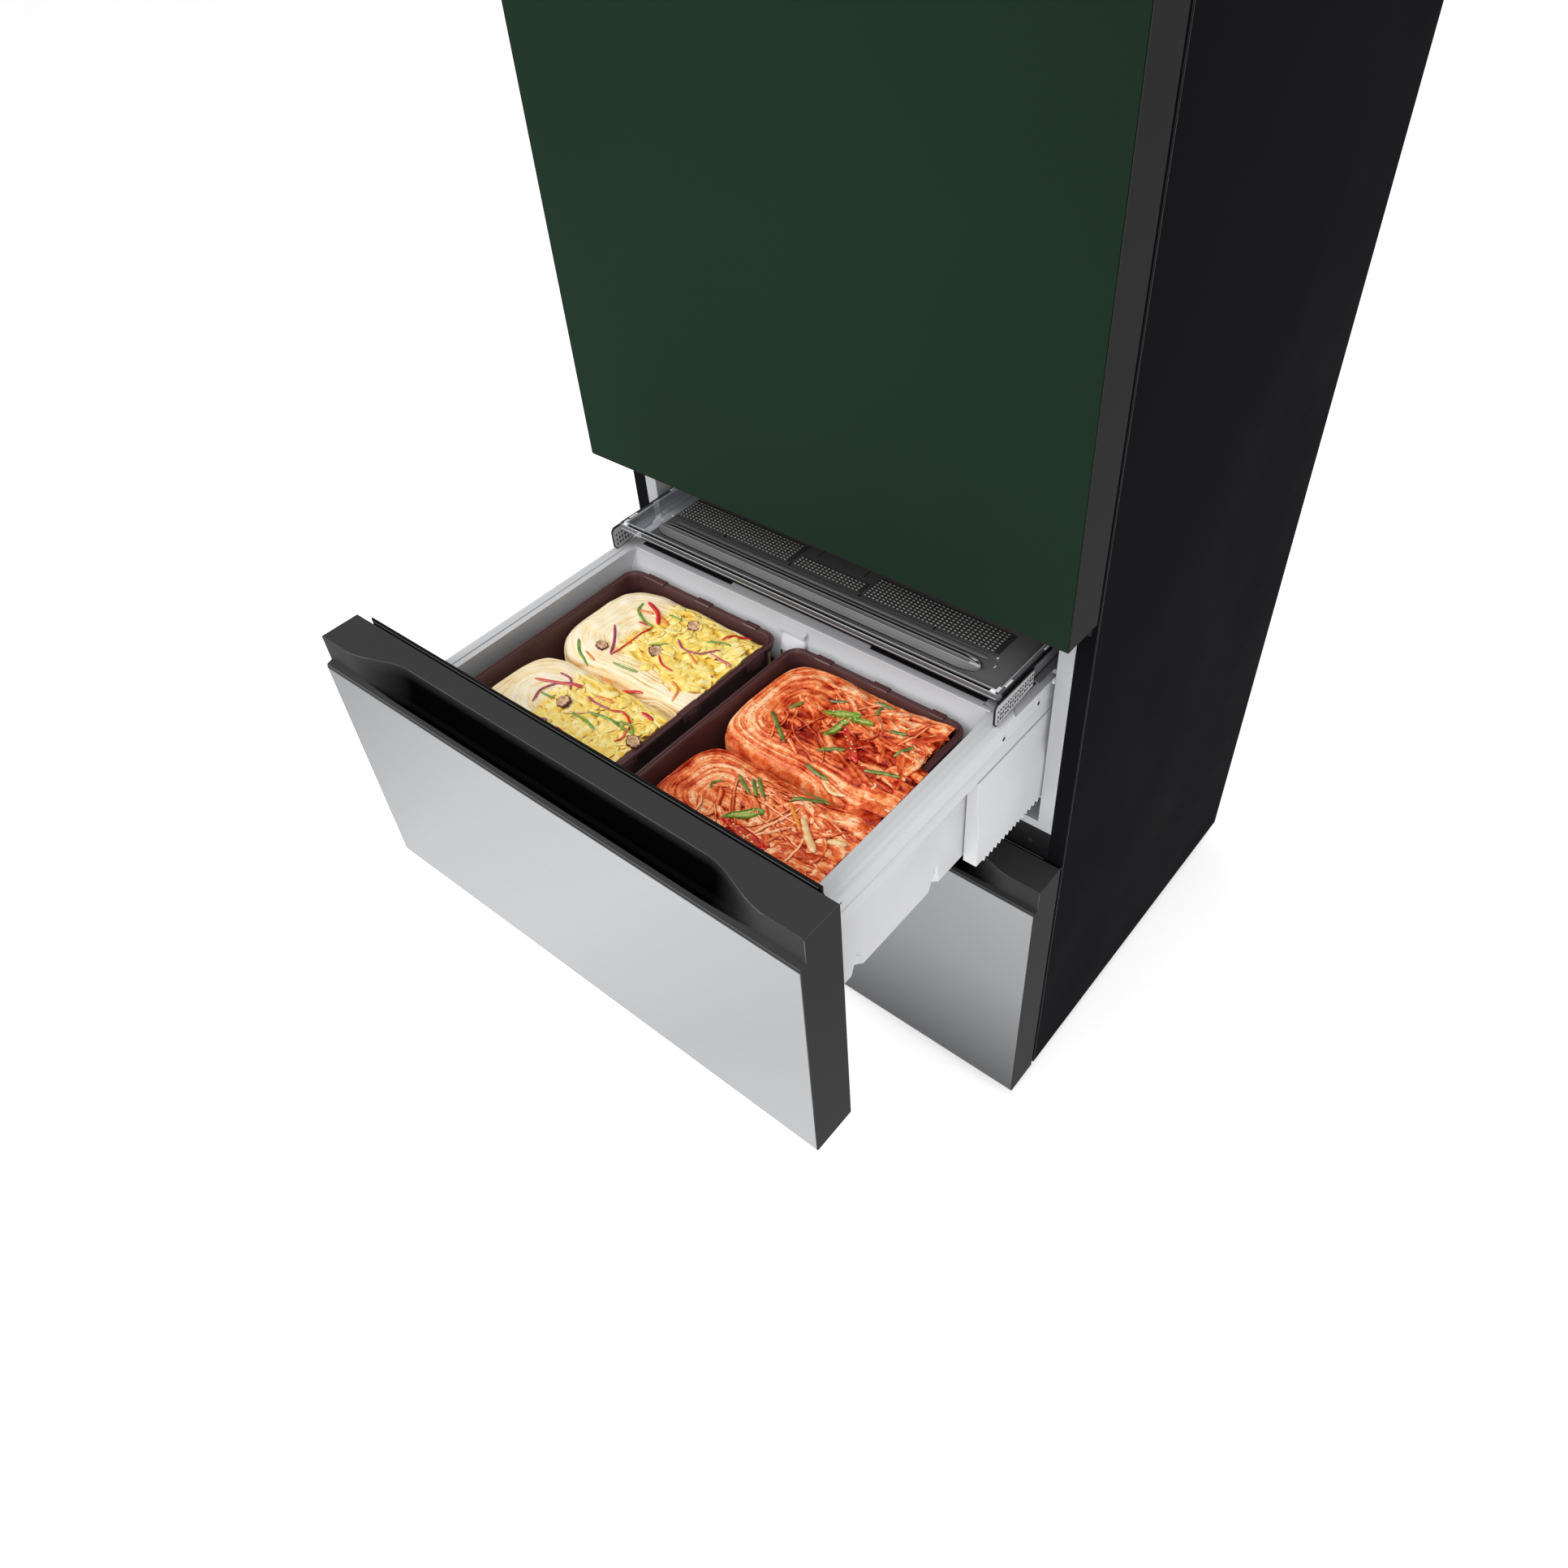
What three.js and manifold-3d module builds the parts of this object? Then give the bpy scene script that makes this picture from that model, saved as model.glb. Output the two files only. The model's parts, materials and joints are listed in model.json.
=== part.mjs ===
// Three-door kimchi refrigerator with its middle drawer pulled out, in millimetres, +Z up.
// Working frame: x = 0 at mid width, y = 0 at the front plane of the doors (fronts face -Y),
// z = 0 at the cabinet's underside. The last lines move it so that the origin is on the floor.
import * as THREE from 'three';
import { mergeVertices } from 'three/addons/utils/BufferGeometryUtils.js';
import Module from 'manifold-3d';

const wasm = await Module();
wasm.setup();

// ---- driving dimensions ------------------------------------------------------------------------
const WIDTH = 666;
const CABINET_FRONT = 60;            // front plane of the cabinet, behind the doors
const CABINET_BACK = 649;
const CABINET_TOP = 1755;
const FOOT_HEIGHT = 28;              // floor to cabinet underside
const FRONT_THICKNESS = 54;          // doors and drawer fronts
const PANEL_THICKNESS = 4;           // coloured front panels
const LOW_FRONT = [0, 443];          // bottom and top of each front
const MID_FRONT = [457, 794];
const DOOR_FRONT = [815, 1752];
const LOW_OPENING = [47, 403];       // bottom and top inside each compartment
const MID_OPENING = [498, 766];
const UP_OPENING = [857, 1710];
const OPENING_HALF = 293;            // half width inside the compartments
const FLANGE_HALF = 311.5;           // half width of the liners' front flanges
const FLANGE_RIM = 12;               // flange above and below each opening
const LINER = 3;                     // liner wall
const COMPARTMENT_BACK = 600;
const MACHINE_FRONT = 465;           // machine compartment, at the back under the drawers
const MACHINE_TOP = 203;
const STEP_BACK = 432;               // lower compartment's back wall in front of the machines
const STEP_TOP = 235;
const MID_TRAVEL = 412;              // how far the middle drawer stands open
const CARRIAGE_SHARE = 0.5;          // the carriages go half as far as the drawer
const COVER_SHARE = 0.25;            // the cover goes a quarter as far
const RACK_PITCH = 8;
const PINION_TEETH = 12;
const PINION_Y = 176;
const HINGE_X = 318;                 // pin line of the upper door
const HINGE_Y = 24;
const GAP = 0.3;                     // between pieces that touch

// ---- materials ---------------------------------------------------------------------------------
function paint(color, roughness, metalness = 0, opacity = 1) {
  const transparent = opacity < 1;
  return new THREE.MeshStandardMaterial({ color, roughness, metalness, opacity, transparent });
}
const GREEN = paint(0x1f2e25, 0.35);
const SILVER = paint(0xc3c6c9, 0.42, 0.5);
const CHARCOAL = paint(0x3a3a3b, 0.5);
const SIDE_STEEL = paint(0x1c1e21, 0.4, 0.3);
const BLACK = paint(0x101112, 0.6);
const WHITE = paint(0xeceded, 0.4);
const LINER_WHITE = paint(0xdfe1e2, 0.45);
const MAROON = paint(0x3d2324, 0.35);
const SMOKE = paint(0x5b5e62, 0.12, 0, 0.45);
const CLEAR = paint(0xd8e4e6, 0.08, 0, 0.35);
const ZINC = paint(0x9a9ca0, 0.35, 0.8);
const COPPER = paint(0xa8643c, 0.35, 0.8);
const RUBBER = paint(0x151515, 0.8);
const FOAM = paint(0xd9cf9f, 0.9);
const WHITE_KIMCHI = paint(0xe9dfa8, 0.35);
const RED_KIMCHI = paint(0xc4491f, 0.3);

// ---- solids ------------------------------------------------------------------------------------
function solid(geometry) {
  const bare = new THREE.BufferGeometry();
  bare.setAttribute('position', geometry.getAttribute('position'));
  if (geometry.index) bare.setIndex(geometry.index);
  const merged = mergeVertices(bare, 1e-4);
  return new wasm.Manifold(new wasm.Mesh({
    numProp: 3,
    vertProperties: new Float32Array(merged.getAttribute('position').array),
    triVerts: new Uint32Array(merged.index.array),
  }));
}

function box(x0, x1, y0, y1, z0, z1) {
  const geometry = new THREE.BoxGeometry(x1 - x0, y1 - y0, z1 - z0);
  geometry.translate((x0 + x1) / 2, (y0 + y1) / 2, (z0 + z1) / 2);
  return solid(geometry);
}

function union(...parts) {
  return parts.reduce((sum, part) => sum.add(part));
}

function without(body, ...cutters) {
  return cutters.reduce((rest, cutter) => rest.subtract(cutter), body);
}

// An outline pushed along an axis. The outline's pairs are (y, z) for 'x', (x, z) for 'y'
// and (x, y) for 'z'.
function prism(outline, axis, from, to) {
  const pairs = outline.map((pair) => new THREE.Vector2(...(axis === 'y' ? pair.toReversed() : pair)));
  if (THREE.ShapeUtils.area(pairs) < 0) pairs.reverse();
  const shape = new THREE.Shape(pairs);
  const geometry = new THREE.ExtrudeGeometry(shape, { depth: to - from, bevelEnabled: false });
  geometry.translate(0, 0, from);
  const [x, y, z] = [new THREE.Vector3(1, 0, 0), new THREE.Vector3(0, 1, 0), new THREE.Vector3(0, 0, 1)];
  const basis = new THREE.Matrix4();
  if (axis === 'x') basis.makeBasis(y, z, x);
  if (axis === 'y') basis.makeBasis(z, x, y);
  return solid(geometry.applyMatrix4(basis));
}

function arc(cx, cy, radius, start, end, steps) {
  const points = [];
  for (let i = 0; i <= steps; i += 1) {
    const angle = THREE.MathUtils.degToRad(start + ((end - start) * i) / steps);
    points.push([cx + radius * Math.cos(angle), cy + radius * Math.sin(angle)]);
  }
  return points;
}

function roundedRect(x0, x1, y0, y1, radius, steps = 4) {
  return [
    ...arc(x1 - radius, y0 + radius, radius, -90, 0, steps),
    ...arc(x1 - radius, y1 - radius, radius, 0, 90, steps),
    ...arc(x0 + radius, y1 - radius, radius, 90, 180, steps),
    ...arc(x0 + radius, y0 + radius, radius, 180, 270, steps),
  ];
}

function circle(cx, cy, radius, steps = 12) {
  return arc(cx, cy, radius, 0, 360 * (1 - 1 / steps), steps - 1);
}

// Skin over a row of flat rings, with the same number of points in each, closed at both ends
// by fans round the end rings' middles. Rings run anticlockwise seen from the first ring's side
// or clockwise: the skin is turned inside out where needed.
function loft(rings, middleOf) {
  const count = rings[0].length;
  const positions = [...rings.flat(1), middleOf(rings[0]), middleOf(rings.at(-1))];
  const triangles = [];
  for (let r = 0; r < rings.length - 1; r += 1) {
    for (let i = 0; i < count; i += 1) {
      const a = r * count + i;
      const b = r * count + ((i + 1) % count);
      triangles.push([a, b, b + count], [a, b + count, a + count]);
    }
  }
  const last = (rings.length - 1) * count;
  const firstMiddle = rings.length * count;
  for (let i = 0; i < count; i += 1) {
    const next = (i + 1) % count;
    triangles.push([firstMiddle, next, i], [firstMiddle + 1, last + i, last + next]);
  }
  const build = (list) => {
    const geometry = new THREE.BufferGeometry();
    geometry.setAttribute('position', new THREE.Float32BufferAttribute(positions.flat(), 3));
    geometry.setIndex(list.flat());
    return solid(geometry);
  };
  const body = build(triangles);
  return body.volume() > 0 ? body : build(triangles.map(([a, b, c]) => [a, c, b]));
}

function average(ring) {
  return [0, 1, 2].map((axis) => ring.reduce((sum, point) => sum + point[axis], 0) / ring.length);
}

// Tapered rounded box, from a lower to an upper outline.
function taperedBox(lower, upper, z0, z1) {
  return loft([lower.map(([x, y]) => [x, y, z0]), upper.map(([x, y]) => [x, y, z1])], average);
}

// Profile of (radius, height) pairs turned round the Z axis.
function turned(profile, steps) {
  const geometry = new THREE.LatheGeometry(profile.map((pair) => new THREE.Vector2(...pair)), steps);
  return solid(geometry.rotateX(Math.PI / 2));
}

function mirrored(part) {
  return part.mirror([1, 0, 0]);
}

function place(parent, name, part, material) {
  const { vertProperties, triVerts } = part.getMesh();
  const geometry = new THREE.BufferGeometry();
  geometry.setAttribute('position', new THREE.Float32BufferAttribute(vertProperties, 3));
  geometry.setIndex(Array.from(triVerts));
  geometry.computeVertexNormals();
  const mesh = new THREE.Mesh(geometry, material);
  mesh.name = name;
  parent.add(mesh);
}

function placePair(parent, name, rightPart, material) {
  place(parent, `${name}_right`, rightPart, material);
  place(parent, `${name}_left`, mirrored(rightPart), material);
}

// ---- groups, one for each body that moves ------------------------------------------------------
const refrigerator = new THREE.Group();
function bodyGroup(y = 0, z = 0) {
  const group = new THREE.Group();
  group.position.set(0, y, z);
  refrigerator.add(group);
  return group;
}
const cabinet = bodyGroup();
const upperDoor = bodyGroup();
const HALF = WIDTH / 2;

// ---- cabinet: steel skin -----------------------------------------------------------------------
const SHEET = 1;
const TRIM_EDGE = FLANGE_HALF + GAP; // the steel front return reaches in to here

// Side panel folded round the front edge, where the door gaskets meet it.
function sidePanel() {
  const outline = [
    [TRIM_EDGE, CABINET_FRONT], [HALF, CABINET_FRONT], [HALF, CABINET_BACK],
    [HALF - SHEET, CABINET_BACK], [HALF - SHEET, CABINET_FRONT + SHEET],
    [TRIM_EDGE, CABINET_FRONT + SHEET],
  ];
  return prism(outline, 'z', 0, CABINET_TOP - SHEET - GAP);
}

function topPanel() {
  const sheet = box(-HALF, HALF, CABINET_FRONT, CABINET_BACK, CABINET_TOP - SHEET, CABINET_TOP);
  const y = CABINET_FRONT;
  const lipBottom = UP_OPENING[1] + FLANGE_RIM + GAP;
  const lip = box(-FLANGE_HALF, FLANGE_HALF, y, y + SHEET, lipBottom, CABINET_TOP - SHEET / 2);
  return union(sheet, lip);
}

// Back panel with two shallow pressed stiffening panels.
function backPanel() {
  const y = CABINET_BACK;
  const x = HALF - SHEET - GAP;
  const sheet = box(-x, x, y - SHEET, y, MACHINE_TOP + GAP, CABINET_TOP - SHEET - GAP);
  const middle = (MACHINE_TOP + CABINET_TOP) / 2;
  const fields = [[MACHINE_TOP + 60, middle - 30], [middle + 30, CABINET_TOP - 60]];
  const ridges = fields.map(([z0, z1]) => {
    const field = box(-HALF + 50, HALF - 50, y - SHEET, y + 3, z0, z1);
    return field.subtract(box(-HALF + 65, HALF - 65, y, y + 4, z0 + 15, z1 - 15));
  });
  return union(sheet, ...ridges);
}

const ROLLER = { x: 285, y: 596, radius: 13.5, width: 22 };
const FOOT = { x: 285, y: 130, pad: 22, stem: 5 };

// Base plate with an upstand at the front, roller lugs and threaded foot bosses.
function basePlate() {
  const y = CABINET_FRONT;
  const x = HALF - SHEET - GAP;
  const front = box(-FLANGE_HALF, FLANGE_HALF, y, y + 1.5, 0, LOW_OPENING[0] - FLANGE_RIM - GAP);
  const plate = box(-x, x, y + SHEET + GAP, CABINET_BACK - 3, 0, 2);
  const parts = [front, plate, box(-FLANGE_HALF, FLANGE_HALF, y, y + 4, 0, 2)];
  for (const side of [-1, 1]) {
    for (const edge of [-1, 1]) {
      const lug = side * ROLLER.x + edge * (ROLLER.width / 2 + 3);
      parts.push(box(lug - 1.5, lug + 1.5, ROLLER.y - 15, ROLLER.y + 15, -20, 1));
    }
    const from = side * ROLLER.x - ROLLER.width / 2 - 3;
    const pin = circle(ROLLER.y, ROLLER.radius - FOOT_HEIGHT, 3, 8);
    parts.push(prism(pin, 'x', from, from + ROLLER.width + 6));
    parts.push(prism(circle(side * FOOT.x, FOOT.y, 12, 10), 'z', -8, 14));
  }
  const bore = prism(circle(FOOT.x, FOOT.y, FOOT.stem + GAP), 'z', -9, 15);
  return without(union(...parts), bore, mirrored(bore));
}

// ---- cabinet: foam and liners ------------------------------------------------------------------
// The insides of the three compartments, grown by a wall thickness. The lower one steps over
// the machine compartment.
function upperSpace(grow, front = CABINET_FRONT - 1) {
  const x = OPENING_HALF + grow;
  return box(-x, x, front, COMPARTMENT_BACK + grow, UP_OPENING[0] - grow, UP_OPENING[1] + grow);
}
function middleSpace(grow, front = CABINET_FRONT - 1) {
  const x = OPENING_HALF + grow;
  return box(-x, x, front, COMPARTMENT_BACK + grow, MID_OPENING[0] - grow, MID_OPENING[1] + grow);
}
function lowerSpace(grow, front = CABINET_FRONT - 1) {
  const x = OPENING_HALF + grow;
  const tall = box(-x, x, front, STEP_BACK + grow, LOW_OPENING[0] - grow, LOW_OPENING[1] + grow);
  return union(tall, box(-x, x, front, COMPARTMENT_BACK + grow, STEP_TOP - grow, LOW_OPENING[1] + grow));
}

// Channels that guide the carriages are let into the liners' side walls.
const CHANNEL = { y: [70, 430], height: 32, depth: 8 };
const MID_CHANNEL_Z = MID_FRONT[0] + 143;
const LOW_CHANNEL_Z = LOW_FRONT[0] + 250;
function channelPocket(z, grow) {
  const x = OPENING_HALF + CHANNEL.depth + grow;
  return box(-x, x, CHANNEL.y[0] - grow, CHANNEL.y[1] + grow, z - grow, z + CHANNEL.height + grow);
}

function insulation() {
  const x = HALF - SHEET - GAP;
  const back = CABINET_BACK - SHEET - GAP;
  const block = box(-x, x, CABINET_FRONT + 2, back, 2 + GAP, CABINET_TOP - SHEET - GAP);
  const grow = LINER + GAP;
  const feet = [-1, 1].map((side) => prism(circle(side * FOOT.x, FOOT.y, 13), 'z', 0, 18));
  return without(
    block, upperSpace(grow), middleSpace(grow), lowerSpace(grow),
    channelPocket(MID_CHANNEL_Z, 2 * GAP), channelPocket(LOW_CHANNEL_Z, LINER + GAP),
    box(-HALF, HALF, MACHINE_FRONT, CABINET_BACK, 0, MACHINE_TOP), ...feet,
  );
}

// A liner is a thin open box whose front flange laps over the cabinet's front.
function liner(space, opening) {
  const flange = box(
    -FLANGE_HALF, FLANGE_HALF, CABINET_FRONT, CABINET_FRONT + 1.5,
    opening[0] - FLANGE_RIM, opening[1] + FLANGE_RIM,
  );
  return union(space(LINER, CABINET_FRONT), flange).subtract(space(0));
}

const SHELF_HEIGHTS = [1150, 1430];
const SHELF_DEPTH = [190, 573];
function upperLiner() {
  let body = liner(upperSpace, UP_OPENING);
  for (const z of SHELF_HEIGHTS) {
    const ledge = box(OPENING_HALF - 9, OPENING_HALF + 1, SHELF_DEPTH[0], SHELF_DEPTH[1], z - 8, z - GAP);
    body = union(body, ledge, mirrored(ledge));
  }
  return body;
}

// Bearing posts for the pinion shaft stand on the compartment's floor.
function bearingPost(floor, axisZ) {
  const outline = [
    [PINION_Y - 14, floor - 1], [PINION_Y + 14, floor - 1], ...arc(PINION_Y, axisZ, 9, 0, 180, 8),
  ];
  const post = prism(outline, 'x', 254, 266);
  return post.subtract(prism(circle(PINION_Y, axisZ, 5 + GAP), 'x', 250, 270));
}

const COVER_LEDGE = [719, 724.5];    // bottom and top of the ledges that carry the cover
function middleLiner(axisZ) {
  const ledge = box(281, OPENING_HALF + 1, 70, 560, COVER_LEDGE[0], COVER_LEDGE[1]);
  const post = bearingPost(MID_OPENING[0], axisZ);
  const body = union(liner(middleSpace, MID_OPENING), ledge, mirrored(ledge), post, mirrored(post));
  return body.subtract(channelPocket(MID_CHANNEL_Z, GAP));
}

function lowerLiner(axisZ) {
  const post = bearingPost(LOW_OPENING[0], axisZ);
  const pocket = channelPocket(LOW_CHANNEL_Z, 0);
  const bulge = channelPocket(LOW_CHANNEL_Z, LINER);
  const body = union(liner(lowerSpace, LOW_OPENING), bulge.subtract(lowerSpace(0)), post, mirrored(post));
  return body.subtract(pocket);
}

function fixedRail() {
  const x = [OPENING_HALF + 0.8, OPENING_HALF + CHANNEL.depth];
  const [z0, z1] = [MID_CHANNEL_Z, MID_CHANNEL_Z + CHANNEL.height];
  const outline = [
    [x[0], z0], [x[1], z0], [x[1], z1], [x[0], z1], [x[0], z1 - 2], [x[1] - 1.5, z1 - 2],
    [x[1] - 1.5, z0 + 2], [x[0], z0 + 2],
  ];
  return prism(outline, 'y', ...CHANNEL.y);
}

// Cover of the bar between two compartments, from one's top to the next one's bottom: a pressed
// strip with two screw holes.
function mullionCover(below, above) {
  const y = CABINET_FRONT;
  const [z0, z1] = [below + FLANGE_RIM + GAP, above - FLANGE_RIM - GAP];
  const outline = [
    [y, z0], [y + 1.7, z0], [y + 1.7, z1], [y, z1], [y, z1 - 18], [y + 0.6, z1 - 19],
    [y + 0.6, z0 + 19], [y, z0 + 18],
  ];
  const strip = prism(outline, 'x', -FLANGE_HALF, FLANGE_HALF);
  const hole = prism(circle(288, (z0 + z1) / 2 + 8, 4.5), 'y', y - 2, y + 0.6);
  return without(strip, hole, mirrored(hole));
}

// Glass shelf with a moulded front trim.
function shelf(z) {
  const [y, back] = SHELF_DEPTH;
  const glass = box(-OPENING_HALF + 2, OPENING_HALF - 2, y + 5, back - 3, z, z + 5);
  const outline = [
    [y + 18, z - GAP], [y + 18, z + 6], [y + 4, z + 9], [y, z + 6], [y, z - 5], [y + 5, z - 7],
  ];
  return union(glass, prism(outline, 'x', -OPENING_HALF + 12, OPENING_HALF - 12));
}

// Air duct cover on the back wall, with rows of slanted slots.
function ductCover() {
  const y = COMPARTMENT_BACK;
  const plate = prism(roundedRect(-190, 190, 880, 1690, 24, 3), 'y', y - 26, y - GAP);
  const hollow = prism(roundedRect(-184, 184, 886, 1684, 20, 3), 'y', y - 22, y);
  const slots = [];
  for (const z of [960, 1240, 1520]) {
    for (const x of [-110, 0, 110]) {
      const outline = [[x - 40, z], [x + 40, z + 6], [x + 40, z + 18], [x - 40, z + 12]];
      slots.push(prism(outline, 'y', y - 30, y - 10));
    }
  }
  return without(plate, hollow, ...slots);
}

// ---- cabinet: hinges ---------------------------------------------------------------------------
const PIN_RADIUS = 5;
function topHinge() {
  const z = CABINET_TOP + GAP;
  const arm = prism([[290, 150], [290, 60], [300, 12], [325, 12], [327, 60], [327, 150]], 'z', z, z + 4);
  return union(arm, prism(circle(HINGE_X, HINGE_Y, PIN_RADIUS), 'z', DOOR_FRONT[1] - 28, z + 3));
}

function lowerHinge() {
  const [y, z] = [CABINET_FRONT, DOOR_FRONT[0]];
  const outline = [[300, y - 2], [300, 34], [308, 14], [325, 14], [327, 20], [327, y - 2]];
  const arm = prism(outline, 'z', z - 7, z - 3);
  const plate = box(296, 327, y - 4, y - 1.5, z - 18, z - 2);
  return union(arm, plate, prism(circle(HINGE_X, HINGE_Y, PIN_RADIUS), 'z', z - 4, z + 24));
}

function topHingeCover() {
  const z = CABINET_TOP + GAP;
  const outline = [[262, 172], [262, 70], [284, 5], [331.7, 5], [331.7, 172]];
  const inset = (margin) => outline.map(([x, y]) => [
    x + (x < 300 ? margin : -margin), y + (y < 100 ? margin : -margin),
  ]);
  const shell = taperedBox(outline, inset(3), z, CABINET_TOP + 22);
  const hollow = taperedBox(inset(2.5), inset(5), z - 1, CABINET_TOP + 19.5);
  return without(shell, hollow);
}

// ---- machine compartment -----------------------------------------------------------------------
const FAN = { x: 30, y: 556, z: 102, radius: 74 };
function compressor() {
  const profile = [
    [0, 8], [62, 8], [70, 20], [74, 60], [76, 62], [76, 68], [73, 72], [66, 120], [46, 144], [0, 150],
  ];
  const upright = turned(profile, 14).translate([-175, 553, 0]);
  const feet = box(-255, -95, 520, 586, 2 + GAP, 10);
  const terminalBox = box(-106, -84, 530, 576, 50, 100);
  const pipe = prism(circle(-175, 553, 6, 10), 'z', 140, 172);
  return union(upright, feet, terminalBox, pipe);
}

// Finned condenser on its core, with the fan's shroud and the motor.
function condenser() {
  const parts = [box(105, 262, 530, 582, 40, 165)];
  for (let x = 114; x < 260; x += 34) parts.push(box(x, x + 3, 506, 606, 26, 180));
  parts.push(box(96, 111, 476, 640, 2 + GAP, 26), box(96, 111, 506, 606, 24, 180));
  const shroud = prism(roundedRect(474, 638, 20, 184, 10, 1), 'x', FAN.x - 14, FAN.x + 20);
  const throat = prism(circle(FAN.y, FAN.z, FAN.radius + 4, 20), 'x', FAN.x - 20, FAN.x + 26);
  const motor = union(
    prism(circle(FAN.y, FAN.z, 16, 10), 'x', FAN.x + 24, FAN.x + 60),
    prism(circle(FAN.y, FAN.z, 3, 8), 'x', FAN.x - 8, FAN.x + 26),
    box(FAN.x + 50, 100, FAN.y - 8, FAN.y + 8, FAN.z - 8, FAN.z + 8),
  );
  const stand = box(FAN.x + 14, 100, 500, 612, 2 + GAP, 22);
  return union(shroud.subtract(throat), motor, stand, ...parts);
}

function condenserFan() {
  const hub = prism(circle(FAN.y, FAN.z, 19), 'x', FAN.x - 12, FAN.x + 18);
  const blades = [];
  for (let i = 0; i < 5; i += 1) {
    const blade = new THREE.BoxGeometry(3, 56, 44, 1, 1, 1);
    blade.rotateY(THREE.MathUtils.degToRad(32)).translate(FAN.x + 3, 43, 0);
    blade.rotateX((i / 5) * 2 * Math.PI).translate(0, FAN.y, FAN.z);
    blades.push(solid(blade));
  }
  const bore = prism(circle(FAN.y, FAN.z, 3 + GAP, 8), 'x', FAN.x - 20, FAN.x + 30);
  return union(hub, ...blades).subtract(bore);
}

function machineCover() {
  const y = [CABINET_BACK - 2.4, CABINET_BACK];
  const plate = prism(roundedRect(-HALF + 3, HALF - 3, 3, MACHINE_TOP - 1, 8, 2), 'y', ...y);
  const slots = [];
  for (let x = -220; x < 240; x += 64) {
    for (const z of [50, 115]) slots.push(box(x, x + 22, y[0] - 1, y[1] + 1, z, z + 40));
  }
  const inletHole = box(-300, -262, y[0] - 1, y[1] + 1, 60, 92);
  return without(plate, inletHole, ...slots);
}

// Mains inlet with three flat blades in a recess.
function powerInlet() {
  const body = union(
    box(-299.5, -262.5, CABINET_BACK - 30, CABINET_BACK + GAP, 60.5, 91.5),
    box(-306, -256, CABINET_BACK + GAP, CABINET_BACK + 3, 54, 98),
  );
  const recess = box(-295, -267, CABINET_BACK - 18, CABINET_BACK + 4, 65, 87);
  const blades = [[-288, 72], [-274, 72], [-281, 80]].map(([x, z]) => (
    box(x - 1, x + 1, CABINET_BACK - 20, CABINET_BACK - 3, z - 3, z + 3)));
  return union(body.subtract(recess), ...blades);
}

// ---- feet and rollers --------------------------------------------------------------------------
function foot(side) {
  const profile = [
    [0, -28], [20, -28], [FOOT.pad, -26], [FOOT.pad, -21], [18, -18], [7, -16], [FOOT.stem, -14],
    [FOOT.stem, 12], [0, 12],
  ];
  return turned(profile, 10).translate([side * FOOT.x, FOOT.y, 0]);
}

function roller(side) {
  const half = ROLLER.width / 2;
  const r = ROLLER.radius;
  const bore = 3 + GAP;
  const profile = [
    [bore, -half], [r - 2, -half], [r, -half + 2], [r, half - 2], [r - 2, half], [bore, half],
    [bore, -half],
  ];
  return turned(profile, 12).rotate([0, 90, 0]).translate([side * ROLLER.x, ROLLER.y, r - FOOT_HEIGHT]);
}

// ---- upper door --------------------------------------------------------------------------------
const LIP = 1.2;                     // frame edge that shows beside a front panel
const GASKET = { inner: 303, outer: 319 };

function frontPanel(top) {
  const x = HALF - LIP - GAP;
  return box(-x, x, 0, PANEL_THICKNESS, LIP + GAP, top - GAP);
}

function gasketRing(z0, z1) {
  const y = [FRONT_THICKNESS + GAP, CABINET_FRONT - GAP];
  const { inner, outer } = GASKET;
  const edge = outer - inner;
  const ring = prism(roundedRect(-outer, outer, z0, z1, 8, 1), 'y', ...y);
  const hole = prism(roundedRect(-inner, inner, z0 + edge, z1 - edge, 4, 1), 'y', y[0] - 1, y[1] + 1);
  const fold = prism(roundedRect(-outer - 1, outer + 1, z0 - 1, z1 + 1, 8, 1), 'y', y[0] + 2, y[0] + 3.2)
    .subtract(prism(roundedRect(-outer + 2, outer - 2, z0 + 2, z1 - 2, 6, 1), 'y', y[0] + 1, y[0] + 4));
  return without(ring, hole, fold);
}

function doorFrame() {
  const [z0, z1] = DOOR_FRONT;
  const block = prism(roundedRect(-HALF, HALF, z0, z1, 2, 2), 'y', 0.5, FRONT_THICKNESS);
  const panelSeat = box(-HALF + LIP, HALF - LIP, -1, PANEL_THICKNESS + GAP, z0 + LIP, z1 - LIP);
  const linerSeat = box(-300, 300, 30, FRONT_THICKNESS + 1, z0 + 34, z1 - 34);
  // Side grip: a pocket in the free edge, with a rounded front lip.
  const pocket = [[-HALF - 1, 20], ...arc(-318, 30, 10, 270, 360, 4), [-308, 44], [-HALF - 1, 44]];
  const grip = prism(pocket, 'z', z0 + 180, z0 + 480);
  const socket = circle(HINGE_X, HINGE_Y, PIN_RADIUS + 2 * GAP);
  const sockets = [prism(socket, 'z', z0 - 1, z0 + 26), prism(socket, 'z', z1 - 30, z1 + 1)];
  return without(block, panelSeat, linerSeat, grip, ...sockets);
}

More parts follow.
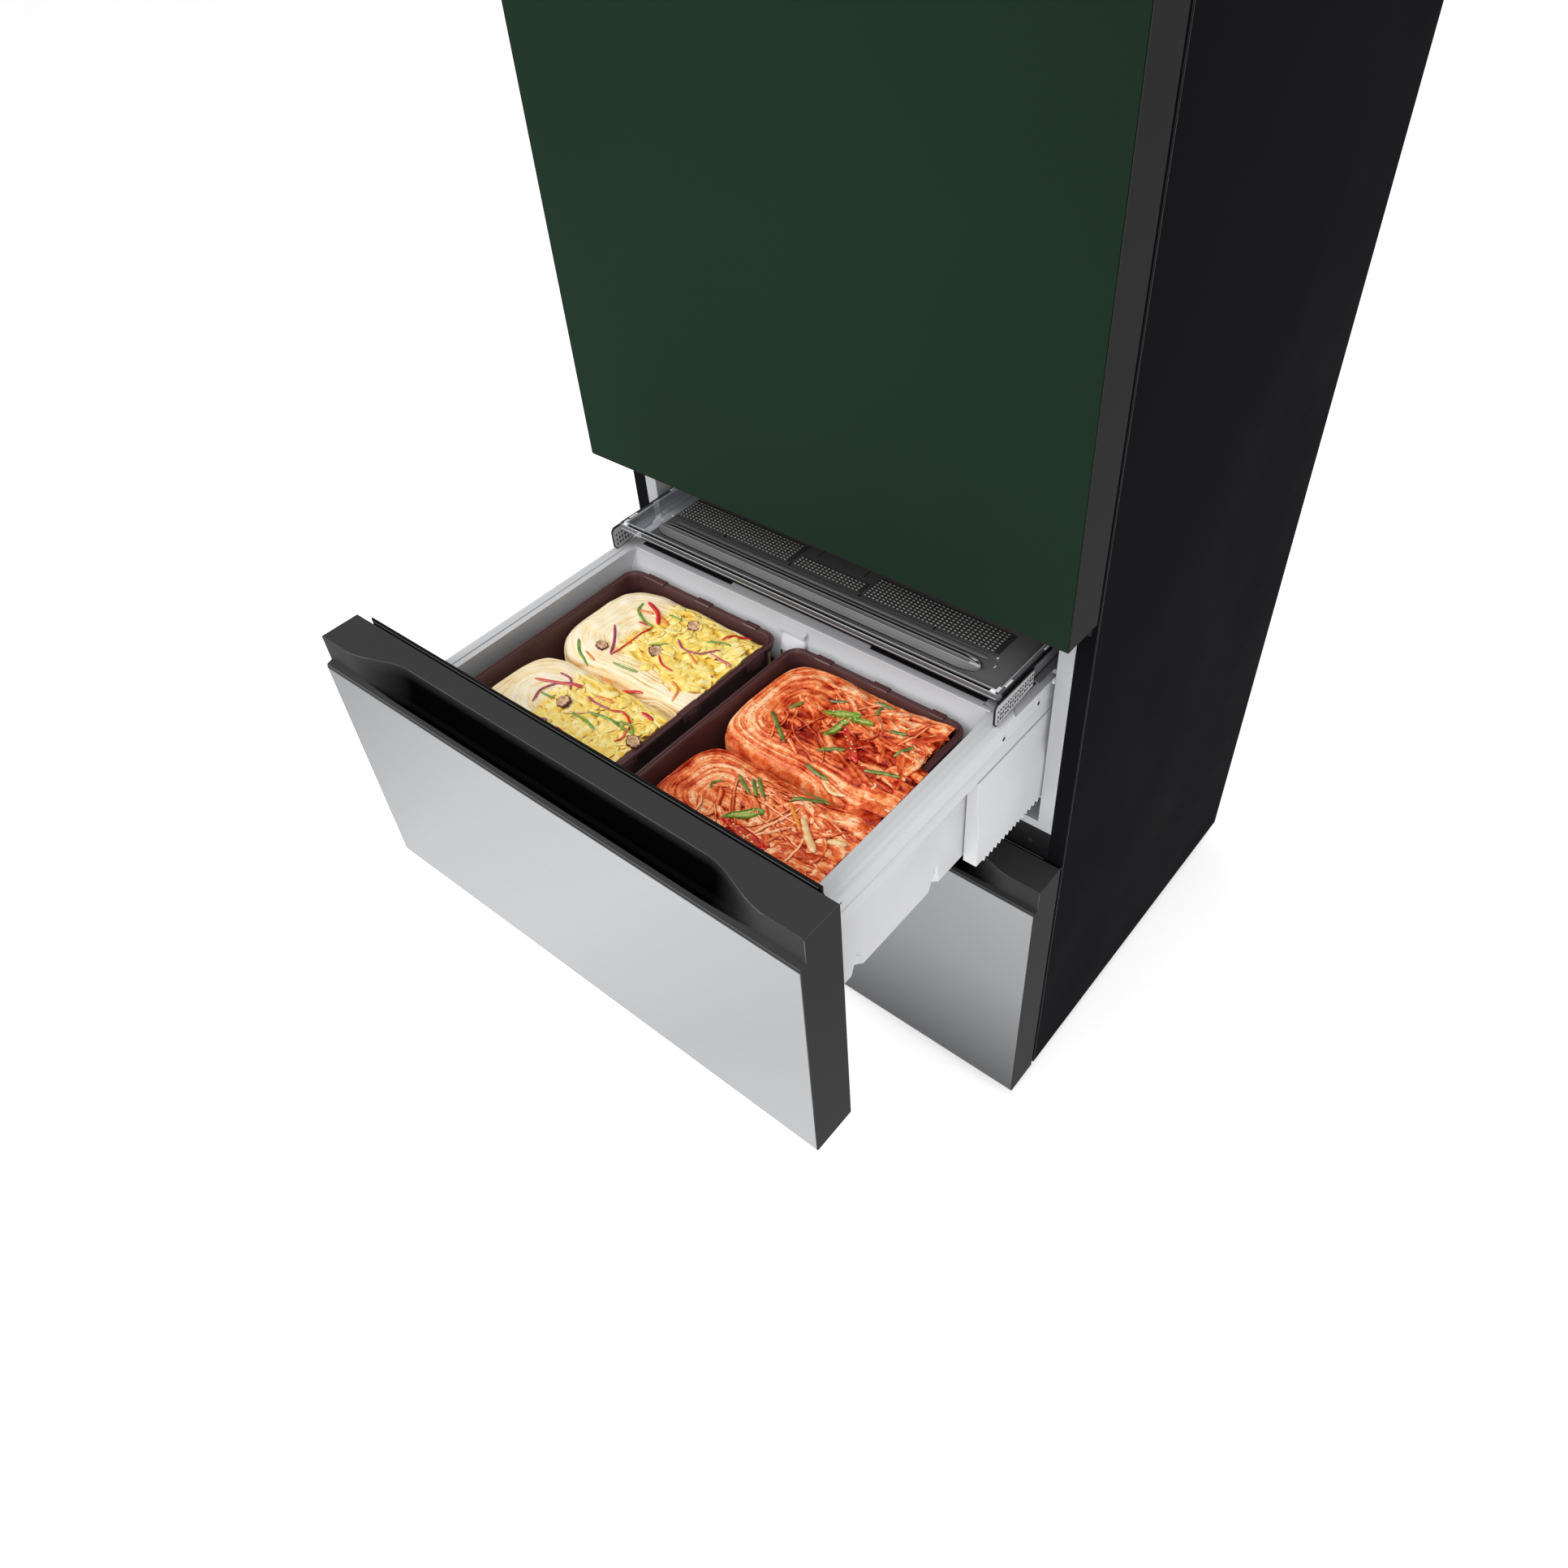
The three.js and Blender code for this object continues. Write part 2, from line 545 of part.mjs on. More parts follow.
const DYKE = { half: 285, back: 78 };
const BASKET_HEIGHTS = [960, 1320];
function doorLiner() {
  const z0 = DOOR_FRONT[0] + 34 + GAP;
  const z1 = DOOR_FRONT[1] - 34 - GAP;
  const plug = box(-299.7, 299.7, 30 + GAP, FRONT_THICKNESS + 1, z0, z1);
  const outline = roundedRect(-DYKE.half, DYKE.half, z0 + 16, z1 - 16, 18, 3);
  const dyke = prism(outline, 'y', FRONT_THICKNESS - 2, DYKE.back);
  const recess = prism(roundedRect(-268, 268, z0 + 34, z1 - 34, 14, 3), 'y', 56, DYKE.back + 1);
  const lugs = BASKET_HEIGHTS.flatMap((z) => [
    box(-270, -258, 55, 76, z - 14, z - GAP), box(266.5, 270, 55, 76, z - 14, z - GAP),
  ]);
  return union(union(plug, dyke).subtract(recess), ...lugs);
}

// Door basket: open tray with a raised front bar.
function doorBasket(z) {
  const low = roundedRect(-252, 262, 58, 142, 12, 3);
  const high = roundedRect(-257, 266, 57, 150, 14, 3);
  const lowInside = roundedRect(-249, 259, 61, 139, 10, 3);
  const highInside = roundedRect(-254, 263, 60, 147, 12, 3);
  const outer = taperedBox(low, high, z, z + 86);
  const inner = taperedBox(lowInside, highInside, z + 3, z + 87);
  const sideHooks = [box(-264, -250, 58, 74, z, z + 10), box(255, 267.5, 58, 74, z, z + 10)];
  return union(without(outer, inner), ...sideHooks.map((hook) => hook.subtract(inner)));
}

// ---- drawer fronts: block with the scooped grip ------------------------------------------------
const GRIP = { ledge: 32, setBack: 8, depth: 28, flat: 208, end: 290, chamfer: 6 };

// Section of the block at one place along its width. scoop goes from 0, the plain end, to 1.
function gripSection(x, height, scoop) {
  const ledgeZ = height - GRIP.ledge;
  const points = [
    [FRONT_THICKNESS, 0], [PANEL_THICKNESS + GAP, 0], [PANEL_THICKNESS + GAP, ledgeZ - GRIP.chamfer],
    [0.2, ledgeZ - GRIP.chamfer], [1.4, ledgeZ - 2],
  ];
  const steps = 8;
  for (let i = 0; i <= steps; i += 1) {
    const t = i / steps;
    const plain = [GRIP.setBack, ledgeZ + GRIP.ledge * t];
    const wave = Math.sin(Math.PI * t);
    const curved = [
      6 + (GRIP.depth - 6) * t + 10 * wave,
      ledgeZ - 1 + (GRIP.ledge + 1) * t - 44 * wave * (1 - t),
    ];
    points.push([plain[0] + (curved[0] - plain[0]) * scoop, plain[1] + (curved[1] - plain[1]) * scoop]);
  }
  points.push([FRONT_THICKNESS, height]);
  return points.map(([y, z]) => [x, y, z]);
}

function gripBlock(height) {
  const stations = [[-HALF, 0]];
  const steps = 5;
  for (let i = 0; i <= steps; i += 1) {
    const t = i / steps;
    stations.push([-GRIP.end + (GRIP.end - GRIP.flat) * t, THREE.MathUtils.smoothstep(t, 0, 1)]);
  }
  const mirror = stations.map(([x, scoop]) => [-x, scoop]).reverse();
  const rings = [...stations, ...mirror].map(([x, scoop]) => gripSection(x, height, scoop));
  const block = loft(rings, ([[x]]) => [x, FRONT_THICKNESS / 2, height - GRIP.ledge - 4]);
  const lip = box(HALF - LIP, HALF, 0.5, PANEL_THICKNESS + 1, 0, height - GRIP.ledge - GRIP.chamfer + 1);
  const bottom = box(-HALF, HALF, 0.5, PANEL_THICKNESS + 1, 0, LIP);
  const plate = roundedRect(-300, 300, 24, height - 24, 10, 2);
  const innerPlate = prism(plate, 'y', FRONT_THICKNESS - 1, FRONT_THICKNESS + 3.6);
  return union(block, bottom, innerPlate, lip, mirrored(lip));
}

// ---- drawers: tub, rails and carriages ---------------------------------------------------------
// All of a drawer is drawn shut, with z from the bottom of its own front.
const TUB_FRONT = 58.3;
const TUB_BACK = 414;
const RIM_DROP = 78;                 // top of the front down to the tub's rim
const RAIL_BACK = 550;

// Bite out of the skirt's lower edge: upright at its front, rounded behind, closing upwards.
function scallop(y, bottom, grow) {
  const x = 273 + grow;
  const lower = [
    [x, y - grow], [262 - grow, y - grow], [262 - grow, y + 4], [264 - grow, y + 10],
    [268 - grow, y + 16], [x, y + 21 + grow],
  ];
  const upper = lower.map(([px, py]) => [270.5 + (px - 262) * 0.15 + grow, y + 12 + (py - y) * 0.2]);
  return taperedBox(lower, upper, bottom - 1, bottom + 32);
}

// The tub's rim, rounded over along its outer edge.
const FLANGE_HEIGHT = 5;
function tubFlange(rim) {
  const [front, back] = [TUB_FRONT, TUB_BACK];
  const rings = [[0, -FLANGE_HEIGHT], [0.8, -2.4], [2.8, -0.7], [6.3, 0]].map(([inset, drop]) => (
    roundedRect(-286 + inset, 286 - inset, front + inset, back - inset, 8 - inset, 1)
      .map(([x, y]) => [x, y, rim + drop])));
  return loft(rings, average);
}

function tub(rim, bottom, bites) {
  const [front, back] = [TUB_FRONT + 1.7, TUB_BACK - 4];
  let skirt = prism(roundedRect(-272, 272, front, back, 10, 2), 'z', bottom, rim - 1);
  const inside = roundedRect(-269.5, 269.5, front + 2.5, back - 2.5, 8, 2);
  let skirtInside = prism(inside, 'z', bottom - 1, rim - 3);
  for (const y of bites) {
    const bite = scallop(y, bottom, 0);
    const inset = scallop(y, bottom, 2.5);
    skirt = skirt.subtract(bite).subtract(mirrored(bite));
    skirtInside = skirtInside.subtract(inset).subtract(mirrored(inset));
  }
  const basin = (inset, z0, z1) => taperedBox(
    roundedRect(-261 + inset, 261 - inset, 66 + inset, 398 - inset, 16 - inset, 3),
    roundedRect(-264.5 + inset, 264.5 - inset, 62 + inset, 401 - inset, 18 - inset, 3),
    z0, z1,
  );
  const walls = union(tubFlange(rim), skirt.subtract(skirtInside), basin(0, bottom, rim - 1));
  // Lid ledge sunk into the rim, left whole along the middle of the back.
  const ledge = prism(roundedRect(-270.5, 270.5, 60, 404, 18, 2), 'z', rim - 1.2, rim + 1);
  const backMiddle = box(-104, 104, 380, 420, rim - 2, rim + 2);
  const shell = without(walls, basin(2.5, bottom + 2.5, rim + 0.5), ledge.subtract(backMiddle));
  // Thin hook on the back wall, over the gap between the containers.
  const profile = [[402, rim - 4], [384, rim - 8], [383, rim - 11], [402, rim - 9]];
  return union(shell, prism(profile, 'x', -20, 20), box(-9, 9, 393, 403, rim - 26, rim - 6));
}

// Rail band under the tub's rim: a channel open at the bottom, with a bead along its face.
function railBand(rim) {
  const z = rim - FLANGE_HEIGHT - GAP;
  const foot = z - 41;
  const outline = [
    [274.2, foot], [276, foot], [276, z - 2.5], [284, z - 2.5], [284, foot], [285.8, foot],
    [285.8, z - 25], [286.4, z - 23.5], [286.4, z - 22.5], [285.4, z - 21.5], [285.4, z], [274.2, z],
  ];
  return prism(outline, 'y', TUB_FRONT, RAIL_BACK);
}

const CARRIAGE = { front: 133, back: 425, outer: 291, inner: 273.5 };
const TOOTH = { tip: 2.3, root: 2.7, halfWidth: 1.5, slope: 0.36 };
const PITCH_RADIUS = (RACK_PITCH * PINION_TEETH) / (2 * Math.PI);
const TUB_TO_PLATE = 6;              // the carriage plate reaches below the tub by this much
function pinionAxis(plateBottom) {
  return plateBottom - TOOTH.root - PITCH_RADIUS;
}

function rackTeeth(plateBottom, restShift) {
  const pitchLine = plateBottom - TOOTH.root;
  const [front, back] = [CARRIAGE.front + 12, CARRIAGE.back - 28];
  const outline = [[back, plateBottom + 2], [front, plateBottom + 2], [front, plateBottom]];
  const first = Math.ceil((front + 4 - PINION_Y - restShift) / RACK_PITCH);
  const last = Math.floor((back - 4 - PINION_Y - restShift) / RACK_PITCH);
  const wide = TOOTH.halfWidth + TOOTH.slope * TOOTH.root;
  const narrow = TOOTH.halfWidth - TOOTH.slope * TOOTH.tip;
  for (let k = first; k <= last; k += 1) {
    const y = PINION_Y + restShift + k * RACK_PITCH;
    outline.push([y - wide, plateBottom], [y - narrow, pitchLine - TOOTH.tip]);
    outline.push([y + narrow, pitchLine - TOOTH.tip], [y + wide, plateBottom]);
  }
  outline.push([back, plateBottom]);
  return prism(outline, 'x', CARRIAGE.outer - 10, CARRIAGE.outer);
}

// Carriage between the fixed rail and the drawer's rail: a ribbed plate with a tongue above,
// glide shoes outside and a rack along its lower edge.
function carriage(rim, plateBottom, channelZ, restShift) {
  const { front, back, outer, inner } = CARRIAGE;
  const shoulder = rim - 3 - GAP - 44.5;
  const outline = [
    [inner, plateBottom], [outer, plateBottom], [outer, shoulder - 66], [outer - 4, shoulder - 41],
    [outer - 4, shoulder], [282.6, shoulder], [282.6, shoulder + 38], [277.6, shoulder + 38],
    [277.6, shoulder], [inner, shoulder],
  ];
  const plate = prism(outline, 'y', front, back);
  const pockets = [];
  const count = 3;
  const length = (back - front - 8) / count;
  for (let i = 0; i < count; i += 1) {
    const y0 = front + 6 + i * length;
    pockets.push(box(inner - 1, outer - 7, y0, y0 + length - 4, plateBottom + 8, shoulder - 6));
  }
  const z0 = channelZ + 3;
  const z1 = channelZ + CHANNEL.height - 3;
  const shoes = [304, 404].map((y) => prism(
    roundedRect(y - 15, y + 15, z0, z1, 4, 1), 'x', outer - 6, OPENING_HALF + CHANNEL.depth - 1.5 - 0.6,
  ));
  return union(without(plate, ...pockets), rackTeeth(plateBottom, restShift), ...shoes);
}

// Shaft across the compartment with a pinion at each end, one gap pointing straight up.
function pinionShaft(axisZ) {
  const outline = [];
  const tipRadius = PITCH_RADIUS + TOOTH.tip - 0.3;
  const rootRadius = PITCH_RADIUS - TOOTH.root;
  const wide = (TOOTH.halfWidth + 0.8) / rootRadius;
  const narrow = (TOOTH.halfWidth - 0.75) / tipRadius;
  for (let i = 0; i < PINION_TEETH; i += 1) {
    const middle = Math.PI / 2 + ((i + 0.5) / PINION_TEETH) * 2 * Math.PI;
    const corners = [[rootRadius, -wide], [tipRadius, -narrow], [tipRadius, narrow], [rootRadius, wide]];
    for (const [radius, offset] of corners) {
      const angle = middle + offset;
      outline.push([PINION_Y + radius * Math.cos(angle), axisZ + radius * Math.sin(angle)]);
    }
  }
  const gear = prism(outline, 'x', CARRIAGE.outer - 10.5, CARRIAGE.outer - 0.5);
  const shaft = prism(circle(PINION_Y, axisZ, 5), 'x', -OPENING_HALF + 2, OPENING_HALF - 2);
  return union(shaft, gear, mirrored(gear));
}

// ---- containers --------------------------------------------------------------------------------
const BIN = { x: [9, 250], y: [69, 370], corner: 30 };

// Tapered storage container with a rolled rim. clips adds the seats for a lid's clips.
function container(bottom, top, side, clips) {
  const [x0, x1] = BIN.x;
  const [y0, y1] = BIN.y;
  const wall = 2.5;
  const lip = 6;
  const steps = clips ? 3 : 2;
  const ring = (inset, radius) => (
    roundedRect(x0 + inset, x1 - inset, y0 + inset, y1 - inset, radius, steps));
  const outer = taperedBox(ring(lip + 7, BIN.corner - 8), ring(lip, BIN.corner - lip), bottom, top - 1);
  const inside = [ring(lip + 7 + wall, BIN.corner - 11), ring(lip + wall, BIN.corner - lip - wall)];
  const inner = taperedBox(...inside, bottom + wall, top + 0.1);
  const rim = prism(ring(0, BIN.corner), 'z', top - 3, top);
  const skirt = prism(ring(1.5, BIN.corner - 1.5), 'z', top - 10, top - 2)
    .subtract(prism(ring(4, BIN.corner - 4), 'z', top - 11, top - 3));
  const parts = [outer, rim, skirt];
  for (const y of clips ? [y0 + 75, y1 - 75] : []) {
    parts.push(box(x0 - 2.5, x0 + 4, y - 14, y + 14, top - 9, top - 4));
    parts.push(box(x1 - 4, x1 + 2.5, y - 14, y + 14, top - 9, top - 4));
  }
  const body = union(...parts).subtract(inner);
  return side < 0 ? mirrored(body) : body;
}

// Half a cabbage laid on its back: a loaf with a rounded root end and a blunter leaf end.
// From 0 to 1 along x the root end comes first.
function halfCabbage([x0, x1], [y0, y1], bottom, top) {
  const rings = [];
  const lengthSteps = 8;
  const roundSteps = 9;
  for (let i = 0; i <= lengthSteps; i += 1) {
    const t = 0.012 + (0.976 * i) / lengthSteps;
    const fromRoot = Math.min(1, t / 0.28);
    const fromTip = Math.min(1, (1 - t) / 0.16);
    const swell = Math.sqrt(1 - (1 - fromRoot) ** 2.2) * Math.sqrt(1 - (1 - fromTip) ** 2.6);
    const halfWidth = ((y1 - y0) / 2) * swell;
    const height = (top - bottom) * (0.5 + 0.5 * swell);
    const ring = [];
    for (let j = 0; j <= roundSteps; j += 1) {
      const angle = (Math.PI * j) / roundSteps;
      const reach = Math.sign(Math.cos(angle)) * Math.abs(Math.cos(angle)) ** 0.65;
      const y = (y0 + y1) / 2 + halfWidth * reach;
      ring.push([x0 + (x1 - x0) * t, y, bottom + height * Math.sin(angle) ** 0.6]);
    }
    rings.push(ring);
  }
  return loft(rings, average);
}

// ---- cover above the middle drawer -------------------------------------------------------------
const COVER = { front: 78, back: 410, half: 277, top: 748.5, floor: 742, bottom: 726, wall: 2.4 };

// Long low rib with rounded ends, seen as a raised loop on the cover.
function coverRib(y, halfLength, width, height) {
  const ring = (inset) => roundedRect(
    -halfLength + 1.5 * inset, halfLength - 1.5 * inset, y - width / 2 + inset, y + width / 2 - inset,
    width / 2 - inset - 0.1, 2,
  );
  return taperedBox(ring(0), ring(4), COVER.floor - 0.5, COVER.floor + height);
}

function drawerCover() {
  const { front, back, half, top, floor, bottom, wall } = COVER;
  const pan = prism(roundedRect(-half, half, front, back, 6, 2), 'z', bottom, top);
  const inside = roundedRect(-half + wall, half - wall, front + wall, back + 1, 5, 2);
  const under = prism(inside, 'z', bottom - 1, floor - wall);
  const well = prism(roundedRect(-half + 22, half - 22, front + 9, back - 12, 6, 2), 'z', floor, top + 1);
  const sideRelief = box(half - 22, half - wall, front + wall, back + 1, bottom - 1, top - wall);
  const frontRelief = box(-half - 1, half + 1, front - 1, front + 3.4, bottom - 1, bottom + 9);
  const parts = [without(pan, under, well, sideRelief, mirrored(sideRelief), frontRelief)];
  parts.push(coverRib(109, 232, 16, 6.3), coverRib(129, 226, 9, 3));
  // Vented strips: rows of small slots in three groups.
  const slots = [];
  for (const [x0, x1] of [[-234, -84], [-70, 70], [84, 234]]) {
    const count = 3;
    const pitch = (x1 - x0) / count;
    for (let i = 0; i < 2 * count; i += 1) {
      const x = x0 + (i % count) * pitch;
      const y = 147 + 15 * Math.floor(i / count);
      slots.push(box(x, x + pitch - 6, y, y + 6, bottom, top));
    }
  }
  const cover = without(union(...parts), ...slots);
  // Grip tabs that stand over the drawer's rim, and runners that rest on the liner's ledges.
  const tab = box(half - 0.5, half + 2.6, front - 10, front + 60, bottom - 9, top - 6);
  const runner = box(half - 1, half + 9, front + 64, back, bottom - 1, bottom + 1);
  return union(cover, tab, mirrored(tab), runner, mirrored(runner));
}

// ---- one drawer --------------------------------------------------------------------------------
const MID = {
  zone: MID_FRONT, tubBottom: 88, bites: [137.5, 274], open: MID_TRAVEL,
  channelZ: MID_CHANNEL_Z - MID_FRONT[0],
};
const LOW = {
  zone: LOW_FRONT, tubBottom: 92, bites: [], open: 0, channelZ: LOW_CHANNEL_Z - LOW_FRONT[0],
};

function axisHeight(drawer) {
  return drawer.zone[0] + pinionAxis(drawer.tubBottom - TUB_TO_PLATE);
}

function buildDrawer(prefix, drawer) {
  const [base, topZ] = drawer.zone;
  const height = topZ - base;
  const rim = height - RIM_DROP;
  const body = bodyGroup(-drawer.open, base);
  place(body, `${prefix}_handle_block`, gripBlock(height), CHARCOAL);
  place(body, `${prefix}_front_panel`, frontPanel(height - GRIP.ledge - GRIP.chamfer), SILVER);
  place(body, `${prefix}_gasket`, gasketRing(7, height - 7), RUBBER);
  const rails = railBand(rim);
  const tubBody = tub(rim, drawer.tubBottom, drawer.bites);
  if (drawer === MID) {
    place(body, `${prefix}_tub`, tubBody, WHITE);
    placePair(body, `${prefix}_drawer_rail`, rails, WHITE);
  } else {
    const lifted = rails.translate([0, 0, 2 * GAP]);
    place(body, `${prefix}_tub`, union(tubBody, lifted, mirrored(lifted)), WHITE);
  }
  const binBottom = drawer.tubBottom + 2.5 + GAP;
  const clips = drawer === MID;
  place(body, `${prefix}_container_left`, container(binBottom, rim - 13, -1, clips), MAROON);
  place(body, `${prefix}_container_right`, container(binBottom, rim - 13, 1, clips), MAROON);
  const carriages = bodyGroup(-drawer.open * CARRIAGE_SHARE, base);
  const plateBottom = drawer.tubBottom - TUB_TO_PLATE;
  const restShift = drawer.open * CARRIAGE_SHARE;
  const plate = carriage(rim, plateBottom, drawer.channelZ, restShift);
  placePair(carriages, `${prefix}_carriage`, plate, WHITE);
  place(bodyGroup(), `${prefix}_pinion_shaft`, pinionShaft(axisHeight(drawer)), WHITE);
  return { body, binBottom, rim };
}

// ---- assembly ----------------------------------------------------------------------------------
place(cabinet, 'insulation_body', insulation(), FOAM);
placePair(cabinet, 'side_panel', sidePanel(), SIDE_STEEL);
place(cabinet, 'top_panel', topPanel(), SIDE_STEEL);
place(cabinet, 'back_panel', backPanel(), SIDE_STEEL);
place(cabinet, 'base_plate', basePlate(), BLACK);
place(cabinet, 'upper_liner', upperLiner(), LINER_WHITE);
place(cabinet, 'middle_liner', middleLiner(axisHeight(MID)), LINER_WHITE);
place(cabinet, 'lower_liner', lowerLiner(axisHeight(LOW)), LINER_WHITE);
placePair(cabinet, 'mid_fixed_rail', fixedRail(), ZINC);
place(cabinet, 'upper_mullion_cover', mullionCover(MID_OPENING[1], UP_OPENING[0]), BLACK);
place(cabinet, 'lower_mullion_cover', mullionCover(LOW_OPENING[1], MID_OPENING[0]), BLACK);
place(cabinet, 'duct_cover', ductCover(), WHITE);
place(cabinet, 'shelf_lower', shelf(SHELF_HEIGHTS[0]), CLEAR);
place(cabinet, 'shelf_upper', shelf(SHELF_HEIGHTS[1]), CLEAR);
place(cabinet, 'top_hinge_bracket', topHinge(), ZINC);
place(cabinet, 'top_hinge_cover', topHingeCover(), BLACK);
place(cabinet, 'lower_hinge_bracket', lowerHinge(), ZINC);
place(cabinet, 'compressor', compressor(), BLACK);
place(cabinet, 'condenser', condenser(), COPPER);
place(cabinet, 'machine_cover', machineCover(), ZINC);
place(cabinet, 'power_inlet', powerInlet(), BLACK);
place(bodyGroup(), 'condenser_fan', condenserFan(), WHITE);
for (const [side, label] of [[-1, 'left'], [1, 'right']]) {
  place(bodyGroup(), `front_foot_${label}`, foot(side), BLACK);
  place(bodyGroup(), `rear_roller_${label}`, roller(side), WHITE);
}

const [doorBottom, doorTop] = DOOR_FRONT;
place(upperDoor, 'upper_door_frame', doorFrame(), CHARCOAL);
const doorPanel = frontPanel(doorTop - doorBottom - LIP).translate([0, 0, doorBottom]);
place(upperDoor, 'upper_door_panel', doorPanel, GREEN);
place(upperDoor, 'upper_door_liner', doorLiner(), WHITE);
place(upperDoor, 'upper_door_gasket', gasketRing(doorBottom + 7, doorTop - 7), RUBBER);
place(upperDoor, 'door_basket_lower', doorBasket(BASKET_HEIGHTS[0]), CLEAR);
place(upperDoor, 'door_basket_upper', doorBasket(BASKET_HEIGHTS[1]), CLEAR);

const middle = buildDrawer('mid', MID);
buildDrawer('low', LOW);
place(bodyGroup(-MID_TRAVEL * COVER_SHARE), 'mid_cover', drawerCover(), SMOKE);

// Four half cabbages, two to a container, laid across the drawer with their roots to the left.
const KIMCHI_X = [25, 236];
const kimchiFloor = middle.binBottom + 2.5 + GAP;
const kimchiTop = middle.rim - 16;
for (const [name, y] of [['back', [214.5, 354]], ['front', [85, 210.5]]]) {
  const red = halfCabbage(KIMCHI_X, y, kimchiFloor, kimchiTop);
  const white = red.translate([-KIMCHI_X[0] - KIMCHI_X[1], 0, 0]);
  place(middle.body, `white_kimchi_${name}`, white, WHITE_KIMCHI);
  place(middle.body, `red_kimchi_${name}`, red, RED_KIMCHI);
}

// Origin on the floor, under the middle of the whole footprint with the drawer open.
const frontmost = -MID_TRAVEL;
const rearmost = CABINET_BACK + 3;
refrigerator.position.set(0, -(frontmost + rearmost) / 2, FOOT_HEIGHT);

export default refrigerator;
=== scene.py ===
"""Kimchi refrigerator: finishes, food, containers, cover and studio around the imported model.

Blender works in metres in the model's own frame: origin on the floor, -Y is the front, +Z is up.
Shapes here are drawn in millimetres from the doors' front plane (y) and the cabinet's underside
(z), with the middle drawer open; Shape.make turns them into the model's frame. Materials read
places in metres.
"""
import json
import math
import random

import bmesh
import bpy
import numpy as np
from mathutils import Matrix, Vector, noise
from mathutils.bvhtree import BVHTree


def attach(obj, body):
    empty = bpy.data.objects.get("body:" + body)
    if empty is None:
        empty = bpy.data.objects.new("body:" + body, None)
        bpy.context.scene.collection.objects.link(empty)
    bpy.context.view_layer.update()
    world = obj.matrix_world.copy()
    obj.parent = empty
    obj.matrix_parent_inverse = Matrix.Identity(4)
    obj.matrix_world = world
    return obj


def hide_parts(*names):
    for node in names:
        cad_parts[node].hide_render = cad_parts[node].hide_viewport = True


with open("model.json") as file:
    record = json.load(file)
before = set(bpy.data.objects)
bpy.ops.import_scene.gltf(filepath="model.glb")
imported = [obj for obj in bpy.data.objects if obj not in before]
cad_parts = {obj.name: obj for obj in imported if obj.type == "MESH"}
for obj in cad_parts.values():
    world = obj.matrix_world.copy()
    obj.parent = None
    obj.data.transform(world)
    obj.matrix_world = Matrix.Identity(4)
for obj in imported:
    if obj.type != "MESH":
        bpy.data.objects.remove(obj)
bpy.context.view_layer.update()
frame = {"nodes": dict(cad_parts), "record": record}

MM = 0.001
NODES = frame["nodes"]
FRAME_SHIFT = np.array((0.0, -120.0, 28.0))

# ---- camera ----------------------------------------------------------------------------------
PHOTO_SIZE = 1932
CAMERA_PLACE = Vector((0.72706, -0.94221, 1.59237))
AZIMUTH, ELEVATION, ROLL = (math.radians(angle) for angle in (43.002, 44.610, -4.890))
FOCAL_PIXELS = 1469.93
PRINCIPAL_POINT = (976.94, 935.68)
SENSOR_WIDTH = 36.0


def show(name, data):
    """A new object in the scene."""
    made = bpy.data.objects.new(name, data)
    bpy.context.scene.collection.objects.link(made)
    return made


def make_camera():
    """Camera at the photograph's place, looking down on the open drawer."""
    level_share = math.cos(ELEVATION)
    back = Vector((
        math.sin(AZIMUTH) * level_share, -math.cos(AZIMUTH) * level_share, math.sin(ELEVATION)))
    level = Vector((0, 0, 1)).cross(back).normalized()
    upright = back.cross(level)
    right = level * math.cos(ROLL) + upright * math.sin(ROLL)
    up = upright * math.cos(ROLL) - level * math.sin(ROLL)
    data = bpy.data.cameras.new("camera")
    data.sensor_width = SENSOR_WIDTH
    data.lens = SENSOR_WIDTH * FOCAL_PIXELS / PHOTO_SIZE
    data.shift_x = (PHOTO_SIZE / 2 - PRINCIPAL_POINT[0]) / PHOTO_SIZE
    data.shift_y = (PRINCIPAL_POINT[1] - PHOTO_SIZE / 2) / PHOTO_SIZE
    camera = show("camera", data)
    axes = Matrix((right, up, back)).transposed()
    camera.matrix_world = Matrix.Translation(CAMERA_PLACE) @ axes.to_4x4()
    bpy.context.scene.camera = camera


